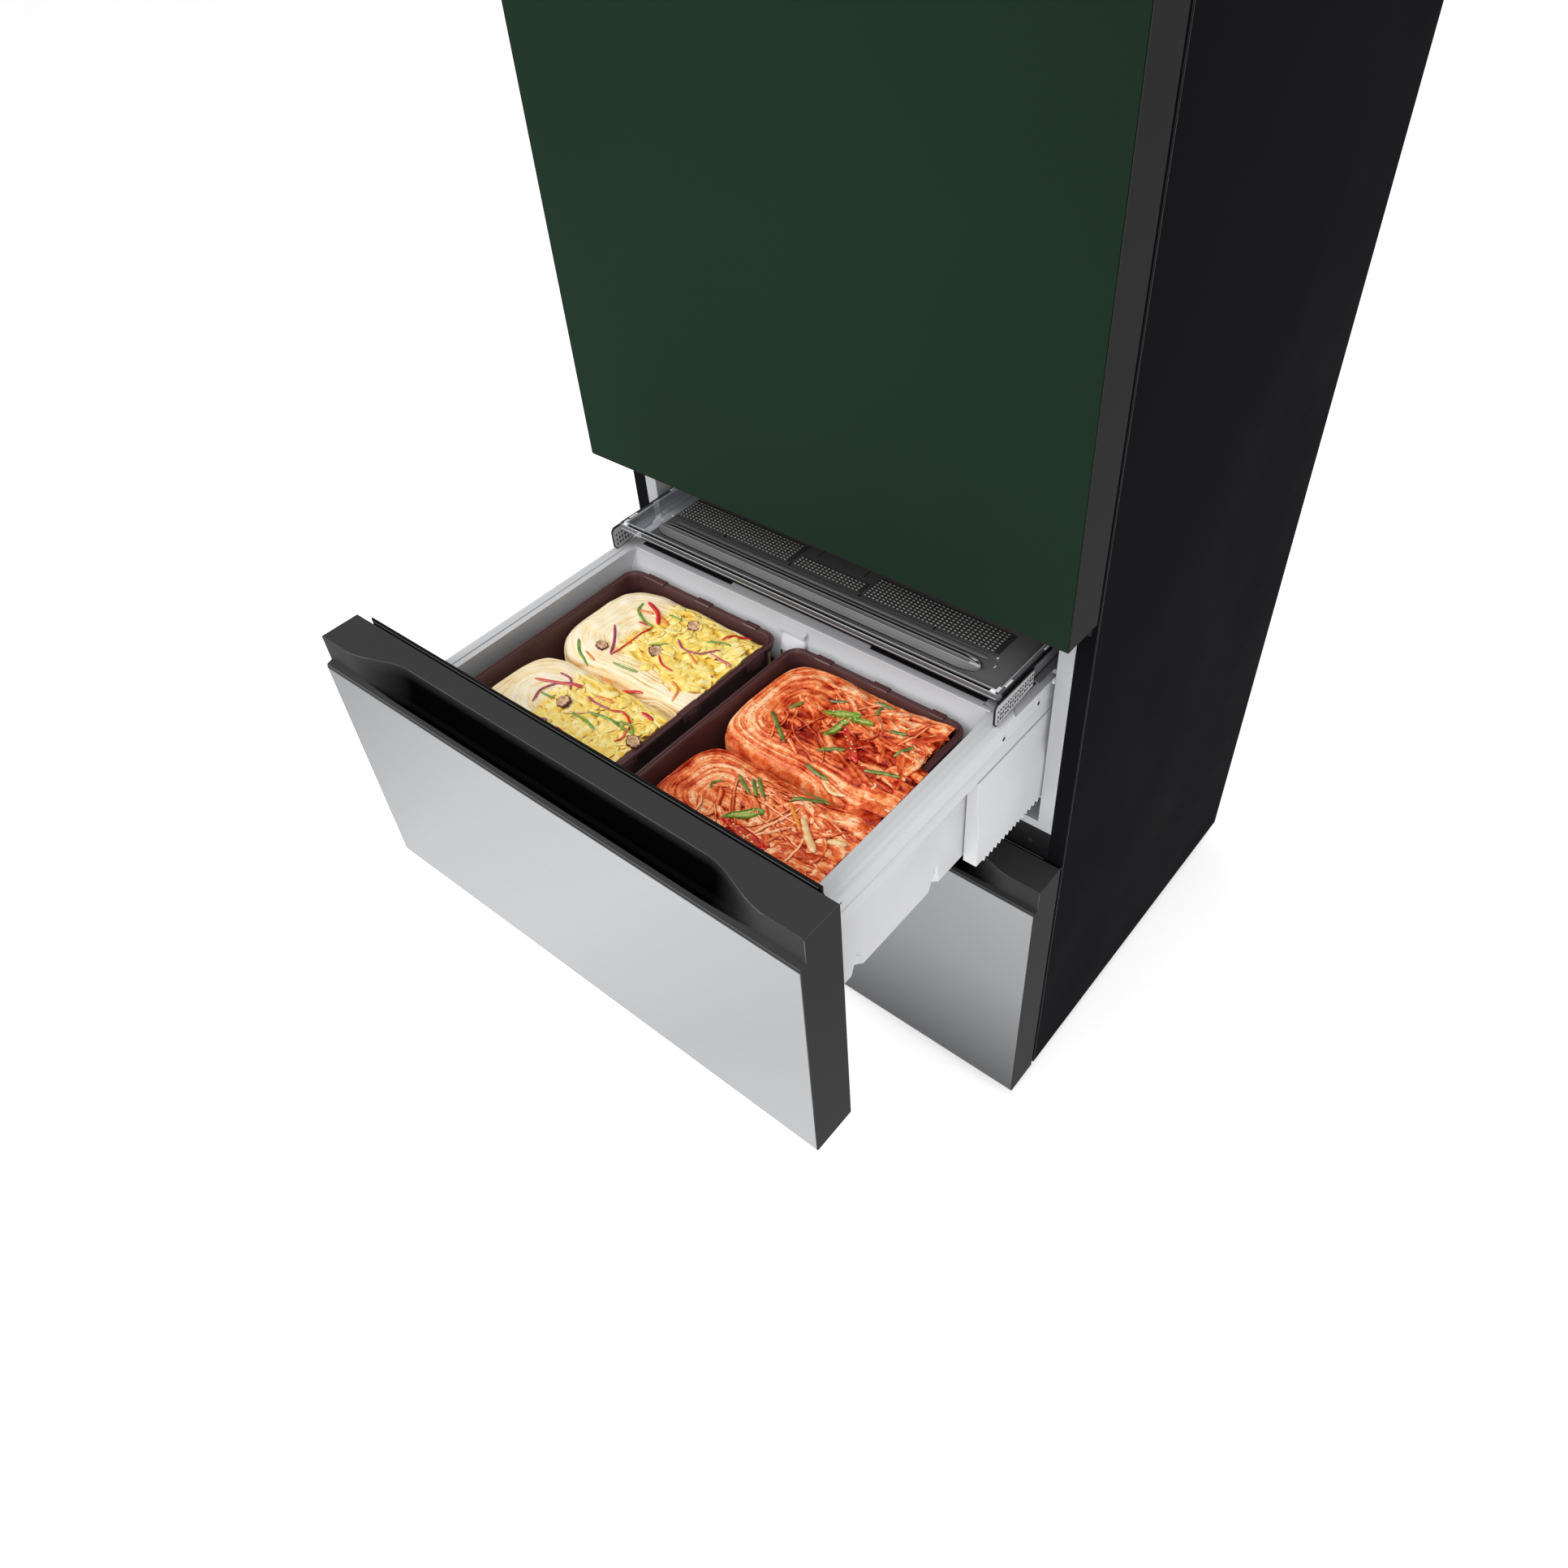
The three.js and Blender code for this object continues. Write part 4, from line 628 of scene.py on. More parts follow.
def cabbage_half(x0, x1, y0, y1, root, strands, seed, over_rim, relief, edge_share, wall_x):
    """Cut half of a cabbage lying on its back, as nested leaves bent round the root at the left.

    Rows run from the back right end round the root to the front right end, columns from the core
    out to the side and down to the floor. With over_rim, the right end lies on the container's rim.
    """
    rows, columns = LEAF_GRID
    chance = random.Random(seed)
    s, theta = np.meshgrid(np.linspace(0, 1, rows), np.linspace(0, math.pi / 2, columns), indexing="ij")
    d = np.sin(theta) ** 0.62
    middle, half, core = (y0 + y1) / 2, (y1 - y0) / 2, x0 + root
    face = smooth_step(d, 0.975, 0.86)

    def waves(points, scale, shift):
        return field(points, scale, seed + shift).reshape(rows, columns)

    def signed(value, power):
        return np.sign(value) * np.abs(value) ** power

    bend = np.clip((s - LEG) / ROUND_ROOT, 0, 1) * math.pi + math.pi / 2
    leg = np.minimum(np.minimum(s, 1 - s) / LEG, 1.0)
    reach = x1
    if over_rim:
        across = y0 + (y1 - y0) * (1 - s)
        reach = x1 - (1 - face) * 17.0 - 15 * smooth_step(across, -112, -66) * (s < LEG)
    square = 0.34 * smooth_step(d, 0.35, 1.0)
    x = reach + (core - reach) * leg + root * d * signed(np.cos(bend), 0.85 - square)
    y = middle + half * d * signed(np.sin(bend), 0.9 - square)
    outline = waves(np.stack([x, y, np.zeros_like(x)], axis=-1), (70, 45, 1), 3)
    x = np.maximum(x, wall_x)
    y = np.minimum(y, BIN_Y[1] - 10.0)
    y = y + np.sign(y - middle) * outline * 3.0 * d * smooth_step(d, 0.2, 0.8) * (np.abs(y - middle) < half)
    slope = 1 - np.cos(np.minimum(theta, math.pi / 2 - 0.0005)) ** 0.14
    z = KIMCHI_TOP - (KIMCHI_TOP - KIMCHI_FLOOR) * 0.95 * np.minimum(slope / 0.62, 1.0) ** 1.6
    z = z - smooth_step(x, core - 8, x0) * 4.0 * (1 - d)
    if over_rim:
        z = z + smooth_step(x, x1 - 70, x1 - 18) * np.maximum(0.0, RIM_TOP + 2.6 - z) * face
    # Leaves: ridges at uneven distances, bent by slow noise.
    base = np.stack([x, y, z], axis=-1)
    warp = waves(base, (80, 40, 60), 5) * 0.13 + waves(base, (30, 12, 30), 6) * 0.026
    edges = np.cumsum([chance.uniform(0.3, 1.9) for _ in range(strands + 8)])
    edges = (edges - edges[0]) / (edges[strands] - edges[0])
    spot = np.clip(d + warp * (0.25 + 0.75 * smooth_step(d, 0.05, 0.4)), 0.0, 1.18)
    strand = np.clip(np.searchsorted(edges, spot, side="right") - 1, 0, len(edges) - 2)
    share = (spot - edges[strand]) / (edges[strand + 1] - edges[strand])
    ridge = np.abs(np.sin(math.pi * share)) ** 0.62
    tones = np.array([chance.random() for _ in edges])
    heights = np.array([chance.uniform(0.5, 1.35) for _ in edges])
    # Leafy parts: creases, lumps and small crinkles.
    crease = np.clip(1 - np.abs(waves(base, (24, 9, 20), 7)) * 3.2, -1, 1)
    lumps = waves(base, (17, 13, 17), 8)
    crinkle = np.clip(1 - np.abs(waves(base, (8, 4.5, 8), 9)) * 3.0, -1, 1)
    border = edge_share + 0.26 * (y - middle) / half
    leafy = smooth_step(d, border + 0.16, border - 0.14) * smooth_step(x, core - 26, core + 16)
    ribbed = 1 - 0.75 * leafy
    fade = 0.55 + 0.65 * waves(base, (60, 40, 60), 10)
    if not over_rim:
        fade = fade + 0.5 * (smooth_step(x, core - root * 0.45, core + 10) - 1) * smooth_step(d, 0.86, 0.7)
    fade = np.clip(fade, 0.12, 1.2)
    side = smooth_step(theta, 1.54, 1.36)
    lift = ridge * heights[strand] * relief * ribbed * side * np.clip(fade, 0.4, 1.2)
    lift += leafy * (crease * 1.6 + lumps * 3.2 + crinkle * (0.6 if over_rim else 0.2))
    lift += (1 - leafy) * lumps * 1.2 * side
    z = z + lift * np.cos(theta * 0.92)
    y = y + lift * (np.sign(y - middle) * np.sin(theta) ** 3) * 0.8
    # Lighter crests and darker grooves between the leaves, with painted light: raised lumps and creases
    # lighter.
    rib = 1 - (1 - ridge) * np.clip(fade, 0, 1)
    rib = np.clip(rib * (0.78 + 0.22 * lumps) * ribbed + leafy * (0.45 + 0.42 * crease), 0, 1)
    bottom = np.stack([np.clip(x[:, -1:], x0 + 20, x1 - 22), np.full((rows, 1), middle), z[:, -1:]], axis=-1)
    points = np.concatenate([np.stack([x, y, z], axis=-1), bottom], axis=1)
    numbers = {
        "rib": rib, "tone": tones[strand], "leafy": leafy, "along": s * 620.0, "across": d * 90.0 + warp * 60}
    wide = columns + 1
    ends = (*range(wide), *((rows - 1) * wide + index for index in range(wide - 1, 0, -1)))
    shape = Shape()
    shape.add(points, [*grid_faces(rows, wide), ends], **{
        key: np.concatenate([values, values[:, -1:]], axis=1).ravel() for key, values in numbers.items()})
    return shape


def drop(tree, x, y, fallback=KIMCHI_TOP):
    """Height of the surface under a point."""
    hit = tree.ray_cast(Vector((x, y, 800.0)), Vector((0, 0, -1)))[0]
    return hit.z if hit else fallback


def ribbon(shape, path, width, thick, sides, arch=0.0, ruffle=None, **numbers):
    """Flat or arched band along a path, pointed at both ends."""
    path = np.asarray(path, dtype=float)
    tangents = np.gradient(path, axis=0)
    tangents /= np.linalg.norm(tangents, axis=1)[:, None] + 1e-9
    side = np.cross(tangents, np.array((0.0, 0.0, 1.0)))
    side /= np.linalg.norm(side, axis=1)[:, None] + 1e-9
    top = np.cross(side, tangents)
    cos, sin = np.cos(turns(sides))[None, :], np.sin(turns(sides))[None, :]
    t = np.linspace(0, 1, len(path))[:, None]
    swell = np.clip(np.minimum(t, 1 - t) * 7 + 0.12, 0, 1) ** 0.5
    across = cos * (width / 2) * swell
    lift = sin * (thick / 2) * swell - arch * (cos ** 2) * swell
    if ruffle is not None:
        depth, wave, phase = ruffle
        length = np.cumsum(np.linalg.norm(np.gradient(path, axis=0), axis=1))
        turn = length[:, None] / wave * 2 * math.pi + phase + cos * 0.8
        lift = lift + depth * np.abs(cos) ** 1.3 * np.sin(turn) * swell
    points = path[:, None, :] + side[:, None, :] * across[..., None] + top[:, None, :] * lift[..., None]
    shape.rings(points, **numbers)


def scatter_leaves(shape, box, seed, count, style):
    """Loose leaf pieces over the cut face, each laid on what is already there."""
    chance = random.Random(seed)
    tree = shape.tree()
    x0, x1, y0, y1 = box
    steps, sides = 26, 12
    angles = turns(sides)
    for _ in range(count):
        x, y = chance.uniform(x0, x1), chance.uniform(y0, y1)
        heading = math.radians(chance.gauss(-4, style["turn"]))
        bend = chance.gauss(0, style["bend"])
        length = chance.uniform(*style["length"])
        path = []
        for _ in range(steps):
            path.append((x, y))
            heading += bend / steps + chance.gauss(0, 0.05)
            x += math.cos(heading) * length / steps
            y += math.sin(heading) * length / steps
            if not (x0 - 4 < x < x1 + 4 and y0 - 5 < y < y1 + 5):
                break
        if len(path) < 8:
            continue
        levels = [drop(tree, px, py) for px, py in path]
        soft = np.convolve(np.pad(levels, 2, mode="edge"), np.ones(5) / 5, mode="valid")
        rise = chance.uniform(*style["rise"])
        line = [(px, py, pz + rise) for (px, py), pz in zip(path, soft)]
        width = chance.uniform(*style["width"])
        depth = chance.uniform(0.5, 1.0) * style["ruffle"]
        ruffle = (depth, chance.uniform(10, 17), chance.uniform(0, 6))
        # Painted light on each piece: lighter along its top, darker at its sides and underside.
        rib = style["edge"] + 0.62 * np.sin(angles) + 0.2 * np.cos(angles * 3 + 6 * chance.random())
        ribbon(
            shape, line, width, style["thick"], sides, arch=width * style["arch"], ruffle=ruffle,
            rib=np.tile(np.clip(rib, 0, 1), len(line)),
            tone=chance.uniform(*style["tone"]), leafy=style["leafy"],
            along=np.repeat(np.linspace(0, length, len(line)), sides),
            across=np.tile(np.cos(angles) * width / 2 + chance.uniform(0, 90), len(line)))


RED_LEAF = {
    "turn": 24, "bend": 0.9, "length": (26, 88), "width": (4, 12), "thick": 2.2, "arch": 0.13,
    "rise": (0.0, 1.4), "ruffle": 0.6, "tone": (0.0, 1.0), "leafy": 0.3, "edge": 0.22,
}
WHITE_LEAF = {
    "turn": 42, "bend": 1.5, "length": (24, 60), "width": (12, 26), "thick": 1.2, "arch": 0.08,
    "rise": (0.2, 2.0), "ruffle": 2.3, "tone": (0.1, 1.0), "leafy": 1.0, "edge": 0.32,
}
SHRED = {
    "turn": 60, "bend": 2.6, "length": (14, 40), "width": (2, 4.5), "thick": 1.6, "arch": 0.1,
    "rise": (0.2, 1.2), "ruffle": 0.5, "tone": (0.3, 1.0), "leafy": 0.75, "edge": 0.4,
}
# Name, left and right end, front and back edge, root length, leaves, seed.
KIMCHI_HALVES = (
    ("red_kimchi_back", 24, 257, -199, -43, 66, 13, 11),
    ("red_kimchi_front", 31, 257, -330, -202, 74, 13, 23),
    ("white_kimchi_back", -236, -15.5, -200, -49, 92, 18, 37),
    ("white_kimchi_front", -231, -15.5, -330, -202, 90, 16, 41),
)
# Leaf ends that climb to the rim between the red halves: y and width.
CLIMBING_ENDS = ((-176, 15), (-190, 17), (-205, 18), (-219, 15))


def make_kimchi():
    """The four halves; returns the surfaces that garnish is dropped on."""
    chance = random.Random(77)
    trees = []
    for name, x0, x1, y0, y1, root, strands, seed in KIMCHI_HALVES:
        red = name.startswith("red")
        relief, edge_share, wall_x = (3.2, 0.60, 22.0) if red else (1.5, 0.66, -238.5)
        shape = cabbage_half(x0, x1, y0, y1, root, strands, seed, red, relief, edge_share, wall_x)
        if red:
            inner = (x0 + root * 0.75, x1 - 16, y0 + 30, y1 - 22)
            scatter_leaves(shape, inner, seed + 1, 60, RED_LEAF)
            scatter_leaves(shape, inner, seed + 2, 26, {**RED_LEAF, "width": (2, 4.5), "turn": 45})
            for y, width in CLIMBING_ENDS if name == "red_kimchi_back" else ():
                path = [(x, y + 0.1 * (x - 236), 692 + 12.5 * smooth_step(x, 212, 238))
                        for x in range(206, 259, 4)]
                ribbon(shape, path, width, 6.0, 12, rib=0.55, tone=chance.random(), leafy=0.2,
                       along=np.repeat(np.arange(len(path)) * 4.0, 12), across=y)
        else:
            inner = (x0 + root * 0.85, x1 - 8, y0 + 32, y1 - 20)
            scatter_leaves(shape, inner, seed + 1, 34, WHITE_LEAF)
            scatter_leaves(shape, inner, seed + 2, 16, SHRED)
        trees.append(shape.tree())
        slot = "red_kimchi" if red else "white_kimchi"
        shape.make(name + "_leaves", slot, slot, angle=60, replaced=(name,))
    return trees


# ---- garnish ---------------------------------------------------------------------------------
# The places below were taken on a level 3 mm under the leaves; this carries them up to the leaves.
GARNISH_SHIFT = np.array((2.6, -2.8))
# Strips by colour: width, then the places that the strip runs through.
STRIPS = {
    "green": (
        (2.6, (-187, -81), (-181, -95), (-160, -106), (-146, -106)), (2.0, (-144, -81), (-123, -80)),
        (1.8, (-123, -138), (-106, -121)), (2.0, (-71, -95), (-58, -85), (-43, -83)),
        (2.6, (-204, -172), (-188, -186), (-166, -195)), (2.2, (-138, -180), (-123, -179), (-102, -176)),
        (2.0, (-167, -264), (-144, -263)), (2.6, (-96, -256), (-64, -252), (-30, -256)),
        (2.2, (-63, -253), (-45, -245), (-27, -258), (-24, -269)),
        (2.6, (-114, -269), (-93, -268), (-69, -274)),
    ),
    "red": (
        (4.2, (-183, -76), (-159, -85), (-141, -102)), (2.4, (-164, -111), (-152, -110)),
        (1.9, (-144, -107), (-146, -140), (-149, -173)), (2.0, (-99, -144), (-85, -153), (-67, -155)),
        (2.6, (-61, -80), (-53, -66), (-39, -52)), (4.0, (-138, -196), (-110, -197), (-78, -193)),
        (2.6, (-190, -252), (-161, -242), (-131, -232)),
        (2.2, (-79, -243), (-62, -236), (-43, -246), (-37, -260), (-39, -273)),
        (3.6, (-48, -223), (-18, -224)), (3.2, (-107, -295), (-81, -299)),
    ),
    "orange": (
        (2.6, (-185, -95), (-161, -89)), (3.4, (-160, -85), (-130, -96)), (2.6, (-74, -121), (-55, -128)),
        (2.2, (-180, -183), (-161, -188)), (2.2, (-144, -196), (-126, -196)),
        (2.2, (-57, -166), (-43, -173), (-38, -195), (-43, -204)), (3.0, (-109, -233), (-84, -230)),
        (3.0, (167, -231), (184, -243), (200, -255)),
    ),
    "purple": (
        (2.4, (-185, -131), (-165, -151), (-150, -172)),
        (2.0, (-102, -109), (-85, -118), (-63, -113), (-47, -96)),
        (2.0, (-162, -281), (-170, -259), (-156, -239), (-133, -230)),
        (2.2, (-174, -228), (-156, -229), (-139, -244)), (2.2, (-116, -239), (-96, -243), (-79, -241)),
        (3.2, (-139, -299), (-123, -293)),
    ),
    "pink": (
        (2.6, (-54, -107), (-28, -107), (-18, -115)), (2.4, (-27, -136), (-12, -129)),
    ),
    "white": (
        (1.8, (-118, -275), (-97, -257)), (5.0, (190, -239), (198, -246), (212, -258)),
        (6.0, (206, -254), (215, -260), (229, -270)), (5.5, (231, -252), (239, -247), (247, -242)),
        (3.6, (170, -184), (186, -190), (204, -189)),
    ),
    "leek": (
        (3.4, (143, -158), (154, -147), (166, -139)), (3.4, (65, -138), (81, -150), (107, -168)),
        (3.6, (143, -177), (160, -181), (176, -182)), (3.4, (200, -154), (219, -147), (237, -143)),
        (3.0, (145, -60), (168, -58)), (3.0, (157, -63), (159, -79)), (3.2, (76, -124), (84, -108)),
        (3.6, (153, -201), (169, -203), (197, -206)), (3.4, (165, -229), (180, -216), (193, -204)),
        (3.2, (100, -232), (126, -245)), (3.2, (115, -227), (134, -244)), (3.0, (118, -222), (141, -241)),
        (2.2, (88, -262), (84, -255), (91, -246)), (3.0, (212, -120), (222, -98)),
        (2.8, (104, -88), (122, -82)), (3.0, (186, -92), (204, -84)),
    ),
}
# Jujube slices: place and radius.
JUJUBES = (
    (-104, -80, 8.5), (-169, -167, 7.5), (-107, -139, 10), (-131, -262, 10), (-22, -262, 8.5),
)
# A jujube slice's rings: share of the radius, and height.
JUJUBE_SKIN = ((0.6, -2.2), (0.98, -1.4), (1.06, 0.4), (1.0, 1.9), (0.84, 2.3))
JUJUBE_FLESH = (
    (0.86, 2.2), (0.74, 3.1), (0.63, 2.3), (0.52, 3.2), (0.41, 2.2), (0.31, 3.3), (0.2, 2.6), (0.1, 3.4),
)
# Chilli slices cut aslant: colour, width, two ends.
CHILLIES = (
    ("green", 12, (112, -108), (148, -90)), ("green", 10, (134, -136), (144, -90)),
    ("green", 9, (140, -101), (166, -93)), ("red", 12, (144, -114), (184, -146)),
    ("green", 12, (126, -286), (155, -256)), ("red", 15, (126, -287), (186, -292)),
)


def make_garnish(trees):
    """Strips, jujube slices and chilli slices, joined by colour and laid on the kimchi."""
    shapes = {key: Shape() for key in GARNISH}
    chance = random.Random(5)
    window = np.hanning(13)[1:-1]

    def ground(x, y):
        return max(drop(tree, x, y, 600.0) for tree in trees)

    for color, strips in STRIPS.items():
        for width, *stops in strips:
            flat = curve_through([np.array(stop, dtype=float) + GARNISH_SHIFT for stop in stops], 9)
            levels = np.array([ground(*point) for point in flat])
            soft = np.convolve(np.pad(levels, 5, mode="edge"), window / window.sum(), mode="valid")
            soft = 0.5 * np.maximum(soft, levels) + 0.5 * soft + 1.3
            thick = width * (0.75 if color in ("leek", "white") else 0.6)
            ribbon(shapes[color], np.column_stack([flat, soft]), width * 1.3, thick, 8)
    for x, y, radius in JUJUBES:
        add_jujube(shapes, x + GARNISH_SHIFT[0], y + GARNISH_SHIFT[1], radius, ground, chance)
    for color, width, start, end in CHILLIES:
        add_chilli(shapes, color, width, start, end, ground, chance)
    for key, shape in shapes.items():
        slot = "red_kimchi" if key in ("leek", "red_pith") else "white_kimchi"
        shape.make("garnish_" + key, "garnish_" + key, slot, angle=60)


def add_jujube(shapes, x, y, radius, ground, chance):
    """Tilted slice with a wrinkled skin round its ridged flesh."""
    place = np.array((x, y, ground(x, y) + 0.8))
    tilt = Vector((chance.uniform(-0.25, 0.35), chance.uniform(-0.45, 0.1), 1)).normalized()
    turn = np.array(Vector((0, 0, 1)).rotation_difference(tilt).to_matrix().transposed())
    angles = turns(48)
    wrinkle = 1 + 0.07 * np.sin(angles * 9 + x) + 0.05 * np.sin(angles * 5 + y)
    for key, levels in (("jujube_skin", JUJUBE_SKIN), ("jujube_flesh", JUJUBE_FLESH)):
        shapes[key].rings([
            np.stack([np.cos(angles) * radius * share * wrinkle,
                      np.sin(angles) * radius * 0.86 * share * wrinkle,
                      np.full(48, z)], axis=-1) @ turn + place
            for share, z in levels])


def add_chilli(shapes, color, width, start, end, ground, chance):
    """Hollow chilli slice: a raised skin loop round the pith, with a few seeds in it."""
    start, end = np.array(start) + GARNISH_SHIFT, np.array(end) + GARNISH_SHIFT
    middle, half = (start + end) / 2, (end - start) / 2
    side = np.array((-half[1], half[0])) / np.linalg.norm(half) * width / 2

    def lay(share, lift):
        flat = [middle + half * math.cos(a) * share + side * math.sin(a) * share * (0.75 + 0.25 * math.cos(a))
                for a in turns(40)]
        levels = np.array([ground(*point) for point in flat])
        return np.column_stack([np.array(flat), levels.mean() * 0.5 + levels * 0.5 + lift])

    skin = [lay(*ring) for ring in ((1.0, -0.6), (1.04, 1.2), (0.98, 2.8), (0.86, 3.0), (0.78, 1.6))]
    shapes[color].rings(skin, caps=False)
    pith = "pith" if color == "green" else "red_pith"
    shapes[pith].rings([lay(0.86, 1.2), lay(0.5, 0.9), lay(0.1, 1.3)])
    for share in np.linspace(-0.5, 0.5, 6):
        x, y = middle + half * share + side * chance.uniform(-0.35, 0.35)
        level = ground(x, y) + 2.0
        shapes["seed"].rings([
            [(x + 1.3 * reach * math.cos(a), y + 1.0 * reach * math.sin(a), level + z) for a in turns(8)]
            for z, reach in ((-0.5, 0.4), (0.0, 1.0), (0.5, 0.6))])


# ---- containers ------------------------------------------------------------------------------
# Wall section, from the underside round the rolled rim to the inside: inset and height.
BIN_SECTION = (
    (19, 549.6), (15, 550.6), (13.4, 554), (7.2, 692), (6.6, 693.6), (2.2, 693.6), (1.4, 694.4),
    (0.9, 699.4), (0.2, 700.4), (0, 701.6), (0.6, 702.7), (1.8, 703.1), (3.0, 702.9), (3.7, 701.9),
    (4.6, 701.9), (5.3, 702.9), (6.4, 703.2), (7.4, 702.7), (8.1, 701.4), (8.5, 698.0), (9.2, 690.0),
    (16.0, 560.0), (18.2, 554.4), (23, 552.6),
)
BIN_CORNER = 20.0
# Sections of the clips on the inner side and of the collars at the back: inset and height.
CLIP = (
    (-1.6, 692.6), (-1.6, 702.4), (-0.6, 704.3), (6.8, 704.5), (8.3, 703.6), (9.0, 700.8), (4.0, 699.0),
    (4.0, 692.6),
)
COLLAR = (
    (-1.3, 694.0), (-1.3, 702.6), (-0.4, 703.9), (6.9, 704.1), (8.3, 703.2), (8.9, 700.6), (4.0, 699.0),
    (4.0, 694.0),
)
# Side, left and right end, places of the clips, ends of the collars.
BINS = (
    ("left", -247.5, -6.5, (-84, -190, -289), ((-218.5, -188), (-135, -113), (-58.5, -39.5))),
    ("right", 12.5, 252.5, (), ((48.8, 70.4), (127.4, 149), (204.8, 222))),
)


def make_containers():
    """Storage containers: tapered walls, double rim line, clips on one side and collars at the back."""
    for side, x0, x1, clips, collars in BINS:
        shape = Shape()
        rings = []
        for inset, z in BIN_SECTION:
            radius = max(6.0, BIN_CORNER - inset)
            outline = rounded(x0 + inset, x1 - inset, BIN_Y[0] + inset, BIN_Y[1] - inset, radius, 9)
            rings.append([(x, y, z) for x, y in outline])
        shape.rings(rings)
        for y in clips:
            shape.sweep([(x1 - inset, z) for inset, z in CLIP], 1, y - 14, y + 14)
            hinge = [(x1 - inset + 1.6, z - 2.4) for inset, z in CLIP[:4]]
            shape.sweep([*hinge, (x1 - 3.0, 691.0)], 1, y - 7, y + 7)
        for start, end in collars:
            shape.sweep([(BIN_Y[1] - inset, z) for inset, z in COLLAR], 0, start, end)
        shape.make("storage_container_" + side, "maroon_plastic", "maroon_plastic", angle=32,
                   replaced=("mid_container_" + side,))


# ---- cover above the drawer ------------------------------------------------------------------
COVER_HALF = 277.0
COVER_FRONT = -25.0
COVER_BACK = 306.0
COVER_TOP = 748.5
COVER_FLOOR = 742.0
COVER_INSET = 9.5
# Section of the raised border: inset from the outer face, and height.
BORDER = (
    (0.6, 740.5), (0, 743.2), (0, 747.6), (0.8, 748.5), (2.2, 748.5), (2.8, 747.6), (5.6, 747.6),
    (6.2, 748.5), (8.4, 748.5), (9.3, 747.8), (10.2, 741.9), (2.4, 739.6),
)
# Long raised loop: (y, rise above the floor, painted shade below 0 and highlight above 0 up to the next
# place).
LOOP = (
    (-5.6, 0.1, -0.94), (-4.4, 0.3, 0.2), (-1.2, 2.9, 0.45), (2.6, 5.7, 2.6), (3.3, 6.0, 0.4),
    (6.2, 4.6, 0.15), (8.5, 5.6, 2.2), (9.2, 5.9, -0.4), (10.6, 5.1, -0.9), (12.8, 5.9, 1.9),
    (13.5, 6.1, 0.1), (17.0, 4.6, -0.1), (20.4, 0.7, -0.92), (21.5, 0.1, 0.0),
)
# Stations along a strip: x, and the share of its full width there.
LOOP_STATIONS = (
    (-238, 0.02), (-235.5, 0.3), (-231, 0.62), (-224, 0.88), (-214, 1.0), (208, 1.0), (218, 0.92),
    (225, 0.76), (229, 0.56), (231.6, 0.32), (232.8, 0.04),
)
CHANNEL = (
    (22.2, 0.1, -0.9), (23.0, 0.5, 0.3), (24.6, 1.7, 0.2), (27.6, 1.7, -0.2), (29.2, 0.5, -0.9),
    (30.0, 0.1, 0.0),
)
CHANNEL_STATIONS = ((-226, 0.04), (-224.5, 0.5), (-220, 1.0), (224, 1.0), (229, 0.6), (230.6, 0.04))
# Vent fields: left and right end, front edge, rows of studs; then the studs' distances.
VENTS = ((-235, -54, 40.0, 8), (-50, 50, 40.5, 4), (54, 235, 39.0, 8))
STUD_X, STUD_Y = 5.66, 4.6
# Painted highlight lines along x: y, z, half length, width.
BRIGHT_LINES = ((-23.6, 748.9, 271, 1.0), (-17.6, 748.8, 269, 0.8), (-25.3, 744.0, 272, 0.6))
# Painted highlight facets at the right ends of the loop's ridges.
LOOP_TIPS = (
    ((218, 3.0), (221, 6.5), (232.4, 7.0), (231, 4.5)), ((206, 12.6), (210, 15.4), (226, 12.4), (224, 10.4)),
)
# Latches on both sides: middle, reach to the left and right, front and back, foot and top, chamfer.
LATCHES = (
    (266, 3.2, 3.2, -23, -18.5, 748.4, 751.0, 1.0), (269.5, 2.4, 1.4, -19.5, -12, 748.4, 750.2, 0.7),
    (272.5, 1.6, 1.2, -8, 5, 748.4, 749.5, 0.6), (273.5, 1.0, 1.0, 66, 73, 748.4, 749.6, 0.4),
    (243, 0.8, 0.8, 17, 20.5, 741.8, 743.0, 0.3), (238, 1.0, 1.0, 31, 33.4, 741.8, 743.0, 0.3),
)
TAB_FRAME = ((-37, 741), (-33, 745.5), (37, 745.5), (37, 721.6), (-29, 715.2), (-34, 716.2), (-37, 719.5))
TAB_PLATE = (
    (-35.8, 740), (-32.2, 743.6), (36, 743.6), (36, 723), (-28.6, 716.8), (-33.2, 717.6), (-35.8, 720.4),
)
# Pieces on the cover: finish, and the angle from which an edge is sharp.
# Painted light: the bright edges are painted highlights; the dark lines and vent beds are painted shade.
COVER_PIECES = {
    "vent_studs": ("stud_grey", 20), "vent_shade_beds": ("bed_dark", 38), "highlight_edges": ("highlight_grey", 38),
    "dark_lines": ("edge_dark", 38), "tab_frames": ("tab_frame", 38), "tab_plates": ("tab_light", 38),
    "tab_cells": ("tab_dark", 15), "latches": ("latch_light", 38),
}


def add_facets(shape, profile, stations, middle):
    """A raised strip built facet by facet, so that each keeps its own painted highlight or painted shade."""
    low = COVER_FLOOR - 1.5
    for (y0, rise0, shade), (y1, rise1, _) in zip(profile, profile[1:]):
        rings = []
        for x, share in stations:
            near, far = middle + (y0 - middle) * share, middle + (y1 - middle) * share
            top0, top1 = COVER_FLOOR + rise0 * share ** 0.6, COVER_FLOOR + rise1 * share ** 0.6
            rings.append([(x, near, top0), (x, far, top1), (x, far, low), (x, near, low)])
        shape.rings(rings, shade=shade)


def both_sides(shape, section, start, end):
    """A section of (x, z) pairs pushed along y, and its mirror image."""
    for sign in (-1, 1):
        shape.sweep([(sign * x, z) for x, z in section], 1, start, end)


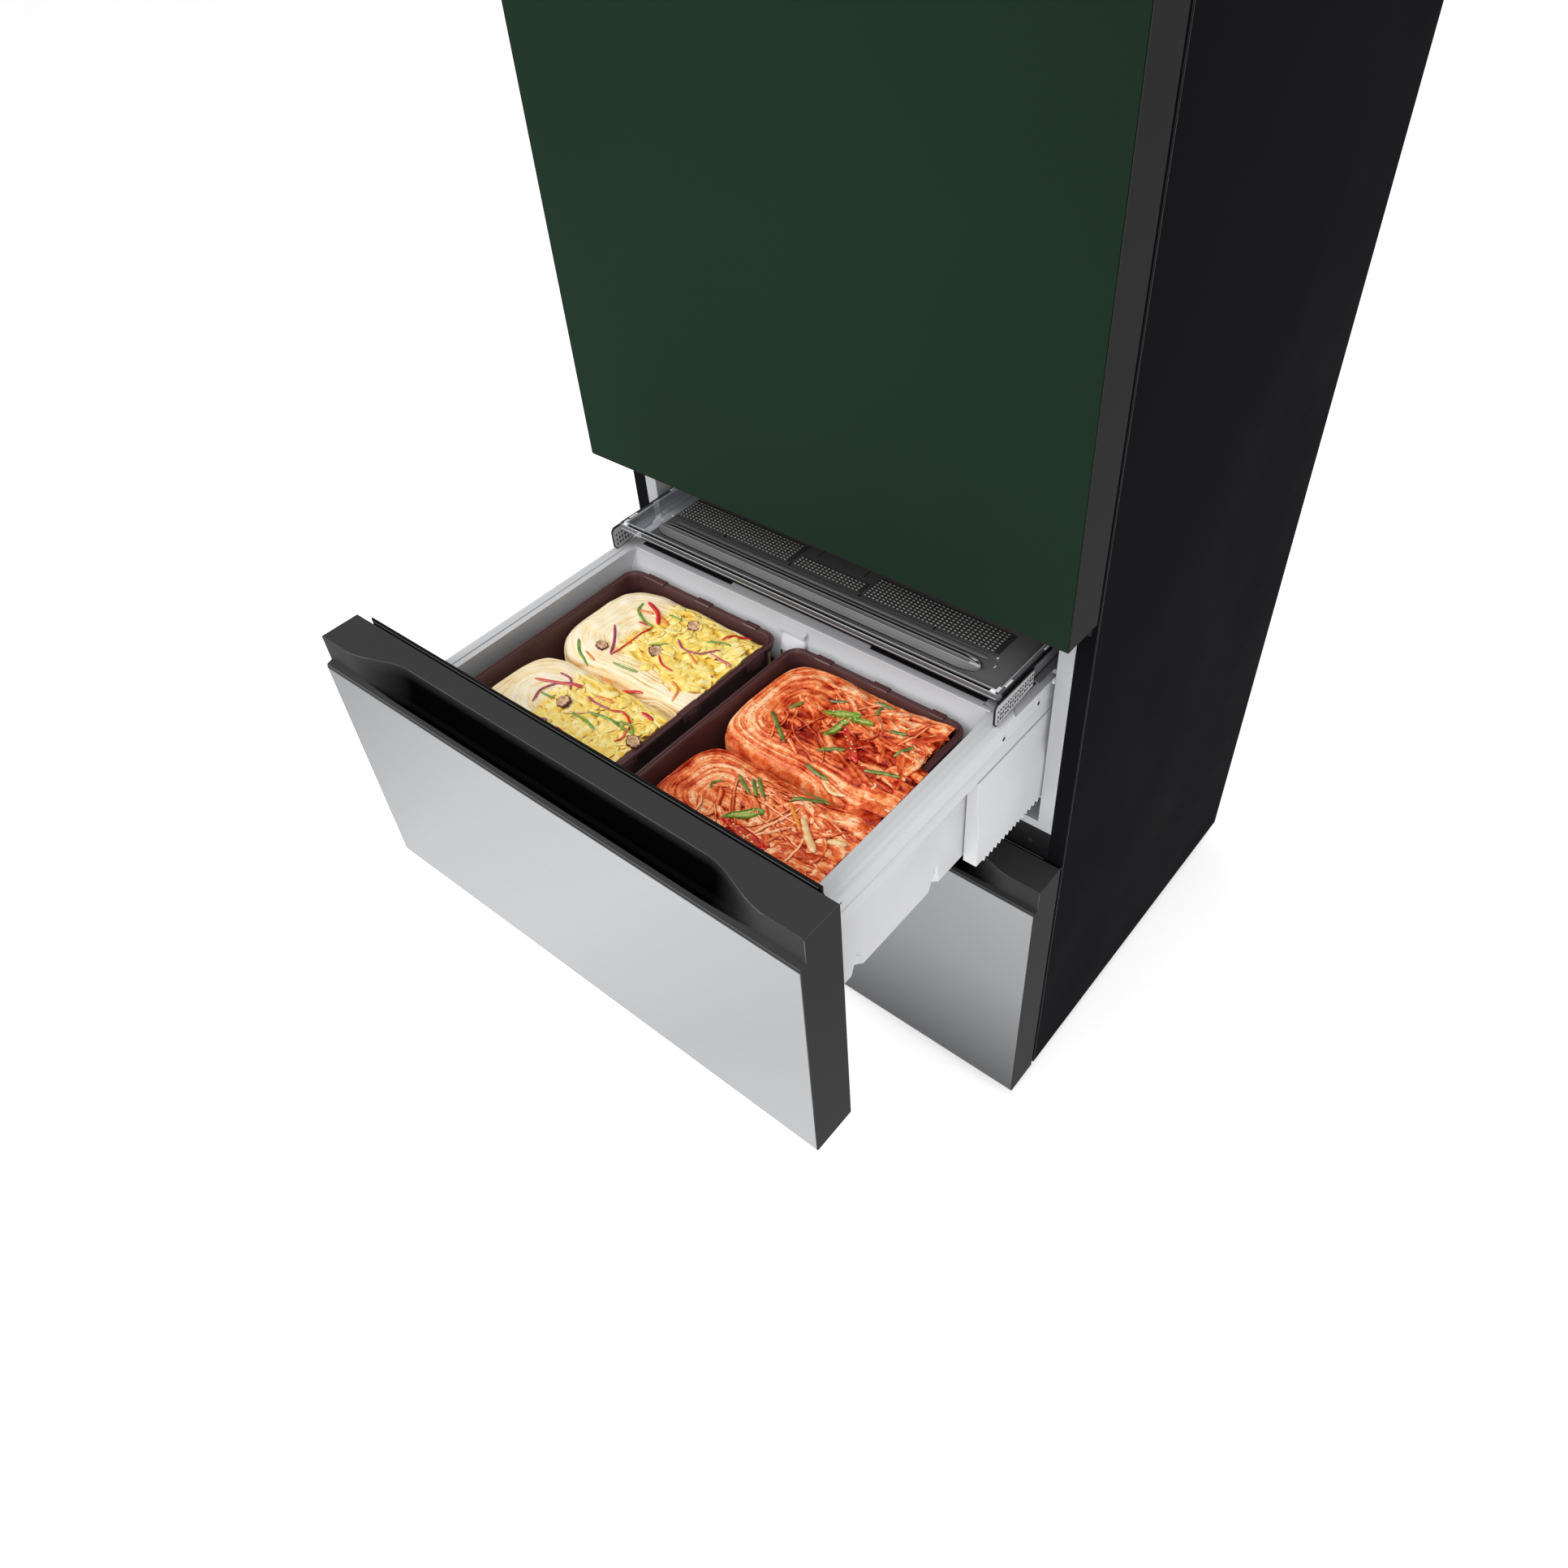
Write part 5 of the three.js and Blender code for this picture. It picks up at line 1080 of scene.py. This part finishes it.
def make_cover():
    """Sliding smoked cover: bordered tray with a raised loop, a channel, vents and grip tabs."""
    tray = Shape()
    levels = []
    for inset, z in BORDER + BORDER[:1]:
        outline = rounded(-COVER_HALF + inset, COVER_HALF - inset, COVER_FRONT + inset, COVER_BACK - inset,
                          max(1.5, 7.0 - inset), 5)
        levels.append([(x, y, z) for x, y in outline])
    tray.rings(levels, caps=False)
    inner = COVER_HALF - COVER_INSET
    floor = rounded(-inner, inner, COVER_FRONT + COVER_INSET, COVER_BACK - COVER_INSET, 4, 3)
    tray.sweep(floor, 2, COVER_FLOOR - 2.4, COVER_FLOOR)
    for sign in (-1, 1):
        for section, start, end in (
                (((274.4, 725.6), (277, 726.4), (277, 744), (274.4, 744)), 36, COVER_BACK - 7),
                (((277, 725.4), (286, 725.4), (286, 727), (277, 727.4)), 39, COVER_BACK)):
            tray.sweep([(sign * x, z) for x, z in section], 1, start, end)
    add_facets(tray, LOOP, LOOP_STATIONS, 6.5)
    add_facets(tray, CHANNEL, CHANNEL_STATIONS, 26.0)
    tray.make("cover_tray", "smoke_plastic", "smoke_plastic", "mid_drawer_cover", 26, ("mid_cover",))

    pieces = {key: Shape() for key in COVER_PIECES}
    add_vents(pieces["vent_studs"], pieces["vent_shade_beds"])
    add_cover_lines(pieces["highlight_edges"], pieces["dark_lines"])
    add_grip_tabs(pieces["tab_frames"], pieces["tab_plates"], pieces["tab_cells"])
    for sign in (-1, 1):
        for middle, left, right, *rest in LATCHES:
            pieces["latches"].block(sign * middle - left, sign * middle + right, *rest)
    for key, (finish, angle) in COVER_PIECES.items():
        pieces[key].make("cover_" + key, finish, "smoke_plastic", "mid_drawer_cover", angle)


def add_vents(studs, beds):
    """Rows of small studs on dark beds painted as the shade between them."""
    for x0, x1, y0, rows in VENTS:
        beds.block(x0 - 0.5, x1 + 0.5, y0 - 1, y0 + rows * STUD_Y, COVER_FLOOR - 0.5, COVER_FLOOR + 0.12)
        for row in range(rows):
            for column in range(int((x1 - x0) / STUD_X)):
                x, y = x0 + 0.8 + column * STUD_X, y0 + row * STUD_Y
                studs.block(x, x + 3.6, y, y + 2.5, COVER_FLOOR - 0.4, COVER_FLOOR + 1.3, 0.9)


def add_cover_lines(bright, dark):
    """Painted highlights along the cover's edges, ridges and teeth, painted shade outlines, and small dark
    marks.
    """
    for y, z, reach, width in BRIGHT_LINES:
        bright.line(y, z, -reach, reach, width)
    for x in np.arange(-228, 262, 3.2):
        bright.block(x, x + 1.1, -16.2, -14.6, COVER_TOP - 4.0, COVER_TOP - 1.2, 0.2)
    both_sides(bright, ((269.2, 748.2), (270.3, 748.2), (270.0, 748.9), (269.5, 748.9)), -18, 300)
    for tip in LOOP_TIPS:
        bright.rings([[(x, y, z) for x, y in tip] for z in (COVER_FLOOR + 0.4, COVER_FLOOR + 5.4)])
    dark.line(-20.6, 748.2, -270, 270, 3.4, 1.0)
    dark.line(-12.6, 742.3, -262, 262, 1.0)
    for x, y in ((-154.6, 37.0), (-52, 37.0), (51.6, 36.0), (154.6, 35.0)):
        dark.block(x - 0.7, x + 0.7, y - 3.4, y + 2.6, COVER_FLOOR - 0.2, COVER_FLOOR + 0.6, 0.1)
    for x in (-34.2, 34.2):
        dark.block(x - 0.4, x + 0.4, 66, 80, COVER_FLOOR - 0.2, COVER_FLOOR + 0.3, 0.1)
    dark.line(35.2, COVER_FLOOR + 0.3, -236, 236, 0.7)
    for sign in (-1, 1):
        for section, start in (
                (((274.0, 748.4), (276.4, 748.6), (277.4, 747.4), (277.3, 745.0)), -21),
                (((277.0, 726.0), (277.6, 726.0), (277.6, 728.4), (277.0, 728.4)), 37)):
            dark.sweep([(sign * x, z) for x, z in section], 1, start, 303)


def add_grip_tabs(frames, plates, cells):
    """Grip tabs at the cover's front corners: a light plate in a dark frame, with rows of dark cells."""
    for sign in (-1, 1):
        frames.sweep(TAB_FRAME, 0, sign * 277.2, sign * 279.2)
        plates.sweep(TAB_PLATE, 0, sign * 276.6, sign * 279.8)
        for column in range(15):
            y = -31.5 + column * 4.6
            rise = 0.097 * (y + 29)
            tall = -2.4 if column % 2 else 2.4
            low = [(y - 1.9, -tall), (y + 1.9, -tall), (y + 0.5, tall), (y - 0.5, tall)]
            high = [(y - 1.5, -1.3), (y + 1.6, -1.3), (y + 1.2, 1.4), (y - 1.2, 1.4)]
            rows = ((low, 722.6 + rise), (low[::-1], 728.6 + rise), (high, 735.0 + rise * 0.7))
            for outline, middle in rows:
                points = [(py, middle + dz) for py, dz in outline]
                cy, cz = (sum(pair[axis] for pair in points) / 4 for axis in (0, 1))
                tip = [(cy + (py - cy) * 0.6, cz + (pz - cz) * 0.6) for py, pz in points]
                for face in (-1, 1):
                    foot, head = sign * (278.2 + face * 1.2), sign * (278.2 + face * 2.2)
                    cells.rings([[(foot, *pair) for pair in points], [(head, *pair) for pair in tip]])


# ---- small pieces on the drawer and the cabinet ----------------------------------------------
RIM_SECTION = (
    (-13, 716.15), (-16.9, 715.9), (-18.0, 715.0), (-18.6, 713.4), (-24, 702), (-31, 686), (-33.5, 660),
    (-12, 660),
)
RIM_STEP = ((-13, 716.2), (-6.5, 716.4), (-4.6, 717.4), (-4.2, 717.4), (-3.6, 716.0))
RIM_LEDGE = ((-13.5, 716.0), (-10, 716.5), (-8.6, 716.4), (-8.2, 715.6), (-8.2, 714.0), (-13.5, 714.0))
# The hook, from its top down: height, front, left and right end, sag of its sides.
HOOK = (
    (705.5, -24.0, -10.0, 13.0, 0.6), (704.0, -27.0, -12.5, 18.5, 1.6), (700.0, -30.5, -13.0, 22.5, 2.2),
    (695.0, -35.0, -10.5, 23.0, 2.4), (690.5, -39.5, -8.0, 18.0, 2.4), (688.0, -40.5, -7.6, 14.0, 2.0),
    (676.0, -40.5, -7.6, 13.0, 1.6),
)
SEAL_LIP = (
    (-354.6, 786), (-352.4, 786), (-352.4, 795.8), (-353.2, 796.5), (-354.2, 796.4), (-354.6, 795.6),
)
# A bar screw's rings: radius and y.
SCREW = ((3.4, 60.4), (3.4, 59.9), (2.9, 59.7), (1.3, 59.7), (1.0, 60.2))


def make_tub_back():
    """Sloping fillet and rim line at the tub's back, and the shaped hook over the containers' gap."""
    rim, gap, hook, slot = Shape(), Shape(), Shape(), Shape()
    for section, start, end in (
            (RIM_SECTION, -262, 262), (RIM_STEP, -108, 97), (RIM_LEDGE, -258, -108), (RIM_LEDGE, 97, 250)):
        rim.sweep(section, 0, start, end)
    rim.make("tub_back_rim", "tub_white", "white_plastic", angle=30)
    # Black strips painted as the cover's shadow in the gap behind the tub's back rim.
    for x0, x1 in ((-257.5, -109), (98, 250)):
        gap.block(x0, x1, -8.0, 3.0, 714.2, 716.2, 0.2)
    gap.block(-109, 98, -3.6, 3.0, 715.0, 716.8, 0.2)
    gap.make("tub_back_gap_shadow", "black_plastic", "white_plastic")
    rings = []
    for z, y, x0, x1, sag in HOOK:
        outline = rounded(x0, x1, y, y + max(6.0, -y - 21.0), 2.4, 4)
        rings.append([(px, py, z - 0.02 * abs(px - (x0 + x1) / 2) ** 1.6 * sag * 0.3) for px, py in outline])
    hook.rings(rings)
    hook.make("tub_back_hook", "tub_white", "white_plastic", angle=40)
    # A black block painted as the shade inside the hook's slot.
    slot.block(-5.6, -3.6, -41.2, -38, 664, 687.4, 0.3)
    slot.make("tub_hook_slot_shade", "black_plastic", "white_plastic")


def make_block_highlights():
    """Painted highlight lines on both front blocks' edges, and the upright seal lip behind the middle one."""
    for name, front, top in (("mid", -412.0, 794.0), ("low", 0.0, 443.0)):
        shape = Shape()
        rings = []
        for x in np.linspace(-331, 331, 120):
            y = front + 8.4 + 20 * float(smooth_step(290 - abs(x), 0, 82))
            rings.append([
                (x, y - 0.4, top - 0.6), (x, y + 0.4, top - 0.6),
                (x, y + 0.25, top + 0.2), (x, y - 0.2, top + 0.15)])
        shape.rings(rings)
        shape.line(front + 56.8, top + 0.2, -308, 308, 0.9, 0.8)
        end = ((332.1, top - 0.6), (332.9, top - 0.6), (332.7, top + 0.15), (332.2, top + 0.2))
        shape.rings([[(x, y, z) for x, z in end] for y in (front + 8.6, front + 56.6)])
        corner = ((332.0, front + 7.8), (332.9, front + 7.9), (332.9, front + 8.8), (332.0, front + 8.8))
        shape.rings([[(x, y, z) for x, y in corner] for z in (top - 31, top - 0.6)])
        shape.line(front + 1.2, top - 33.6, -331, 331, 0.8, 0.8)
        shape.make(name + "_block_highlights", "highlight_charcoal", "charcoal_plastic", name + "_drawer")
    lip = Shape()
    lip.sweep(SEAL_LIP, 0, -311, 311)
    lip.make("mid_seal_lip", "seal_black", "gasket_rubber")


def make_small_pieces():
    """Painted highlights on side-panel folds, screws, rail screw seats, painted hole shade, guide pins."""
    lines, heads, seats, holes, pins = (Shape() for _ in range(5))
    for side in (-1, 1):
        # Painted highlight lines along the side panels' folded edges.
        edge = ((333.1, 60.6), (332.2, 59.8), (332.9, 61.9))
        lines.rings([[(side * x, y, z) for x, y in edge] for z in (4.0, 1750.0)])
        heads.rings([[(side * 286 + radius * math.cos(a), y, 459.6 + radius * math.sin(a)) for a in turns(24)]
                     for radius, y in SCREW])
        for y in (-27, 41):
            seats.disc((side * 285.3, y, 697), 3.9, side * 0.7)
            # Black discs painted as the shade inside the screw holes.
            holes.disc((side * 285.6, y, 697), 2.7, side * 0.55)
        pins.disc((side * 288.2, 66.4, 713.5), 4.3, side * 3.2, 0.4)
    lines.make("cabinet_edge_highlights", "highlight_steel", "side_steel", "cabinet")
    heads.make("bar_screws", "screw_black", "black_plastic", "cabinet")
    seats.make("rail_screw_seats", "white_plastic", "white_plastic")
    holes.make("rail_screw_hole_shade", "black_plastic", "white_plastic")
    pins.make("guide_pins", "white_plastic", "liner_white", "cabinet")


# ---- CAD nodes: shading only -----------------------------------------------------------------
WELD = 0.01 * MM
EDGE_RADIUS = 0.6 * MM
# CAD nodes whose finish isn't simply that of their slot.
OWN_FINISH = {
    # The zinc lower hinge bracket is darkened to black as painted shade.
    "lower_hinge_bracket": "black_steel", "mid_tub": "tub_white",
    "mid_handle_block": "mid_block", "low_handle_block": "low_block",
}


def smoothing_group():
    """Geometry nodes that join doubled vertices and shade smooth below an edge angle."""
    group = bpy.data.node_groups.new("smooth_by_angle", "GeometryNodeTree")
    for side in ("INPUT", "OUTPUT"):
        group.interface.new_socket("Geometry", in_out=side, socket_type="NodeSocketGeometry")
    start, end, weld, angle, sharp, faces, edges = (group.nodes.new(kind) for kind in (
        "NodeGroupInput", "NodeGroupOutput", "GeometryNodeMergeByDistance", "GeometryNodeInputMeshEdgeAngle",
        "FunctionNodeCompare", "GeometryNodeSetShadeSmooth", "GeometryNodeSetShadeSmooth"))
    weld.inputs["Distance"].default_value = WELD
    sharp.operation = "LESS_EQUAL"
    sharp.inputs[1].default_value = math.radians(28)
    edges.domain = "EDGE"
    for source, target in (
            (start.outputs[0], weld.inputs["Geometry"]),
            (weld.outputs["Geometry"], faces.inputs["Geometry"]),
            (faces.outputs["Geometry"], edges.inputs["Geometry"]),
            (angle.outputs["Unsigned Angle"], sharp.inputs[0]),
            (sharp.outputs["Result"], edges.inputs["Shade Smooth"]),
            (edges.outputs["Geometry"], end.inputs[0])):
        group.links.new(source, target)
    return group


def dress_nodes():
    """Gives every CAD node its finish, rounds its sharp edges and shades it smooth, by modifiers only."""
    modifiers = (
        ("weld", "WELD", {"merge_threshold": WELD}),
        ("flats", "DECIMATE", {"decimate_type": "DISSOLVE", "angle_limit": math.radians(0.5)}),
        ("smooth", "NODES", {"node_group": smoothing_group()}),
        ("bevel", "BEVEL", {"width": EDGE_RADIUS, "segments": 2, "limit_method": "ANGLE",
                            "angle_limit": math.radians(32), "harden_normals": True}),
    )
    slots = {row["node"]: row["material_slot"] for row in frame["record"]["subparts"]}
    for name, node in NODES.items():
        node.data.materials.clear()
        node.data.materials.append(FINISHES[OWN_FINISH.get(name, slots[name])])
        for title, kind, settings in modifiers:
            modifier = node.modifiers.new(title, kind)
            for key, value in settings.items():
                setattr(modifier, key, value)


# ---- studio ----------------------------------------------------------------------------------
FLOOR_HALF = 14.0
# Lights: name, place, target, size, power.
LIGHTS = (
    ("key", (-2.0, -2.4, 3.6), (0, -0.2, 0.7), (2.2, 1.8), 80),
    ("front_fill", (1.6, -3.2, 1.8), (0, -0.3, 0.6), (1.8, 1.8), 60),
    ("top", (0.3, -0.6, 4.2), (0, -0.3, 0.6), (2.6, 2.0), 42),
)


def make_studio():
    """Pale floor, even pale surroundings and large soft lights."""
    world = bpy.data.worlds.new("studio")
    world.use_nodes = True
    background = world.node_tree.nodes["Background"].inputs
    background["Color"].default_value = (1, 1, 1, 1)
    background["Strength"].default_value = 0.6
    bpy.context.scene.world = world
    bpy.context.scene.view_settings.view_transform = "Standard"
    mesh = bpy.data.meshes.new("floor")
    corners = ((-1, -1), (1, -1), (1, 1), (-1, 1))
    mesh.from_pydata([(FLOOR_HALF * x, FLOOR_HALF * y, 0) for x, y in corners], [], [(0, 1, 2, 3)])
    paint = Surface("floor_paint", 0.8, 0.0, 0.1)
    tone = paint.ramp(paint.noise(3.0, 2.0), [(0.3, 0.94), (0.7, 0.96)])
    paint.put({"Base Color": tone, "Emission Color": tone, "Emission Strength": 0.42})
    mesh.materials.append(paint.material)
    floor = show("floor", mesh)
    for name, place, target, size, power in LIGHTS:
        data = bpy.data.lights.new(name, "AREA")
        data.shape = "RECTANGLE"
        data.size, data.size_y = size
        data.energy = power
        light = show(name, data)
        light.location = place
        light.rotation_euler = (Vector(target) - Vector(place)).to_track_quat("-Z", "Y").to_euler()


make_camera()
dress_nodes()
make_garnish(make_kimchi())
make_containers()
make_cover()
make_tub_back()
make_block_highlights()
make_small_pieces()
make_studio()
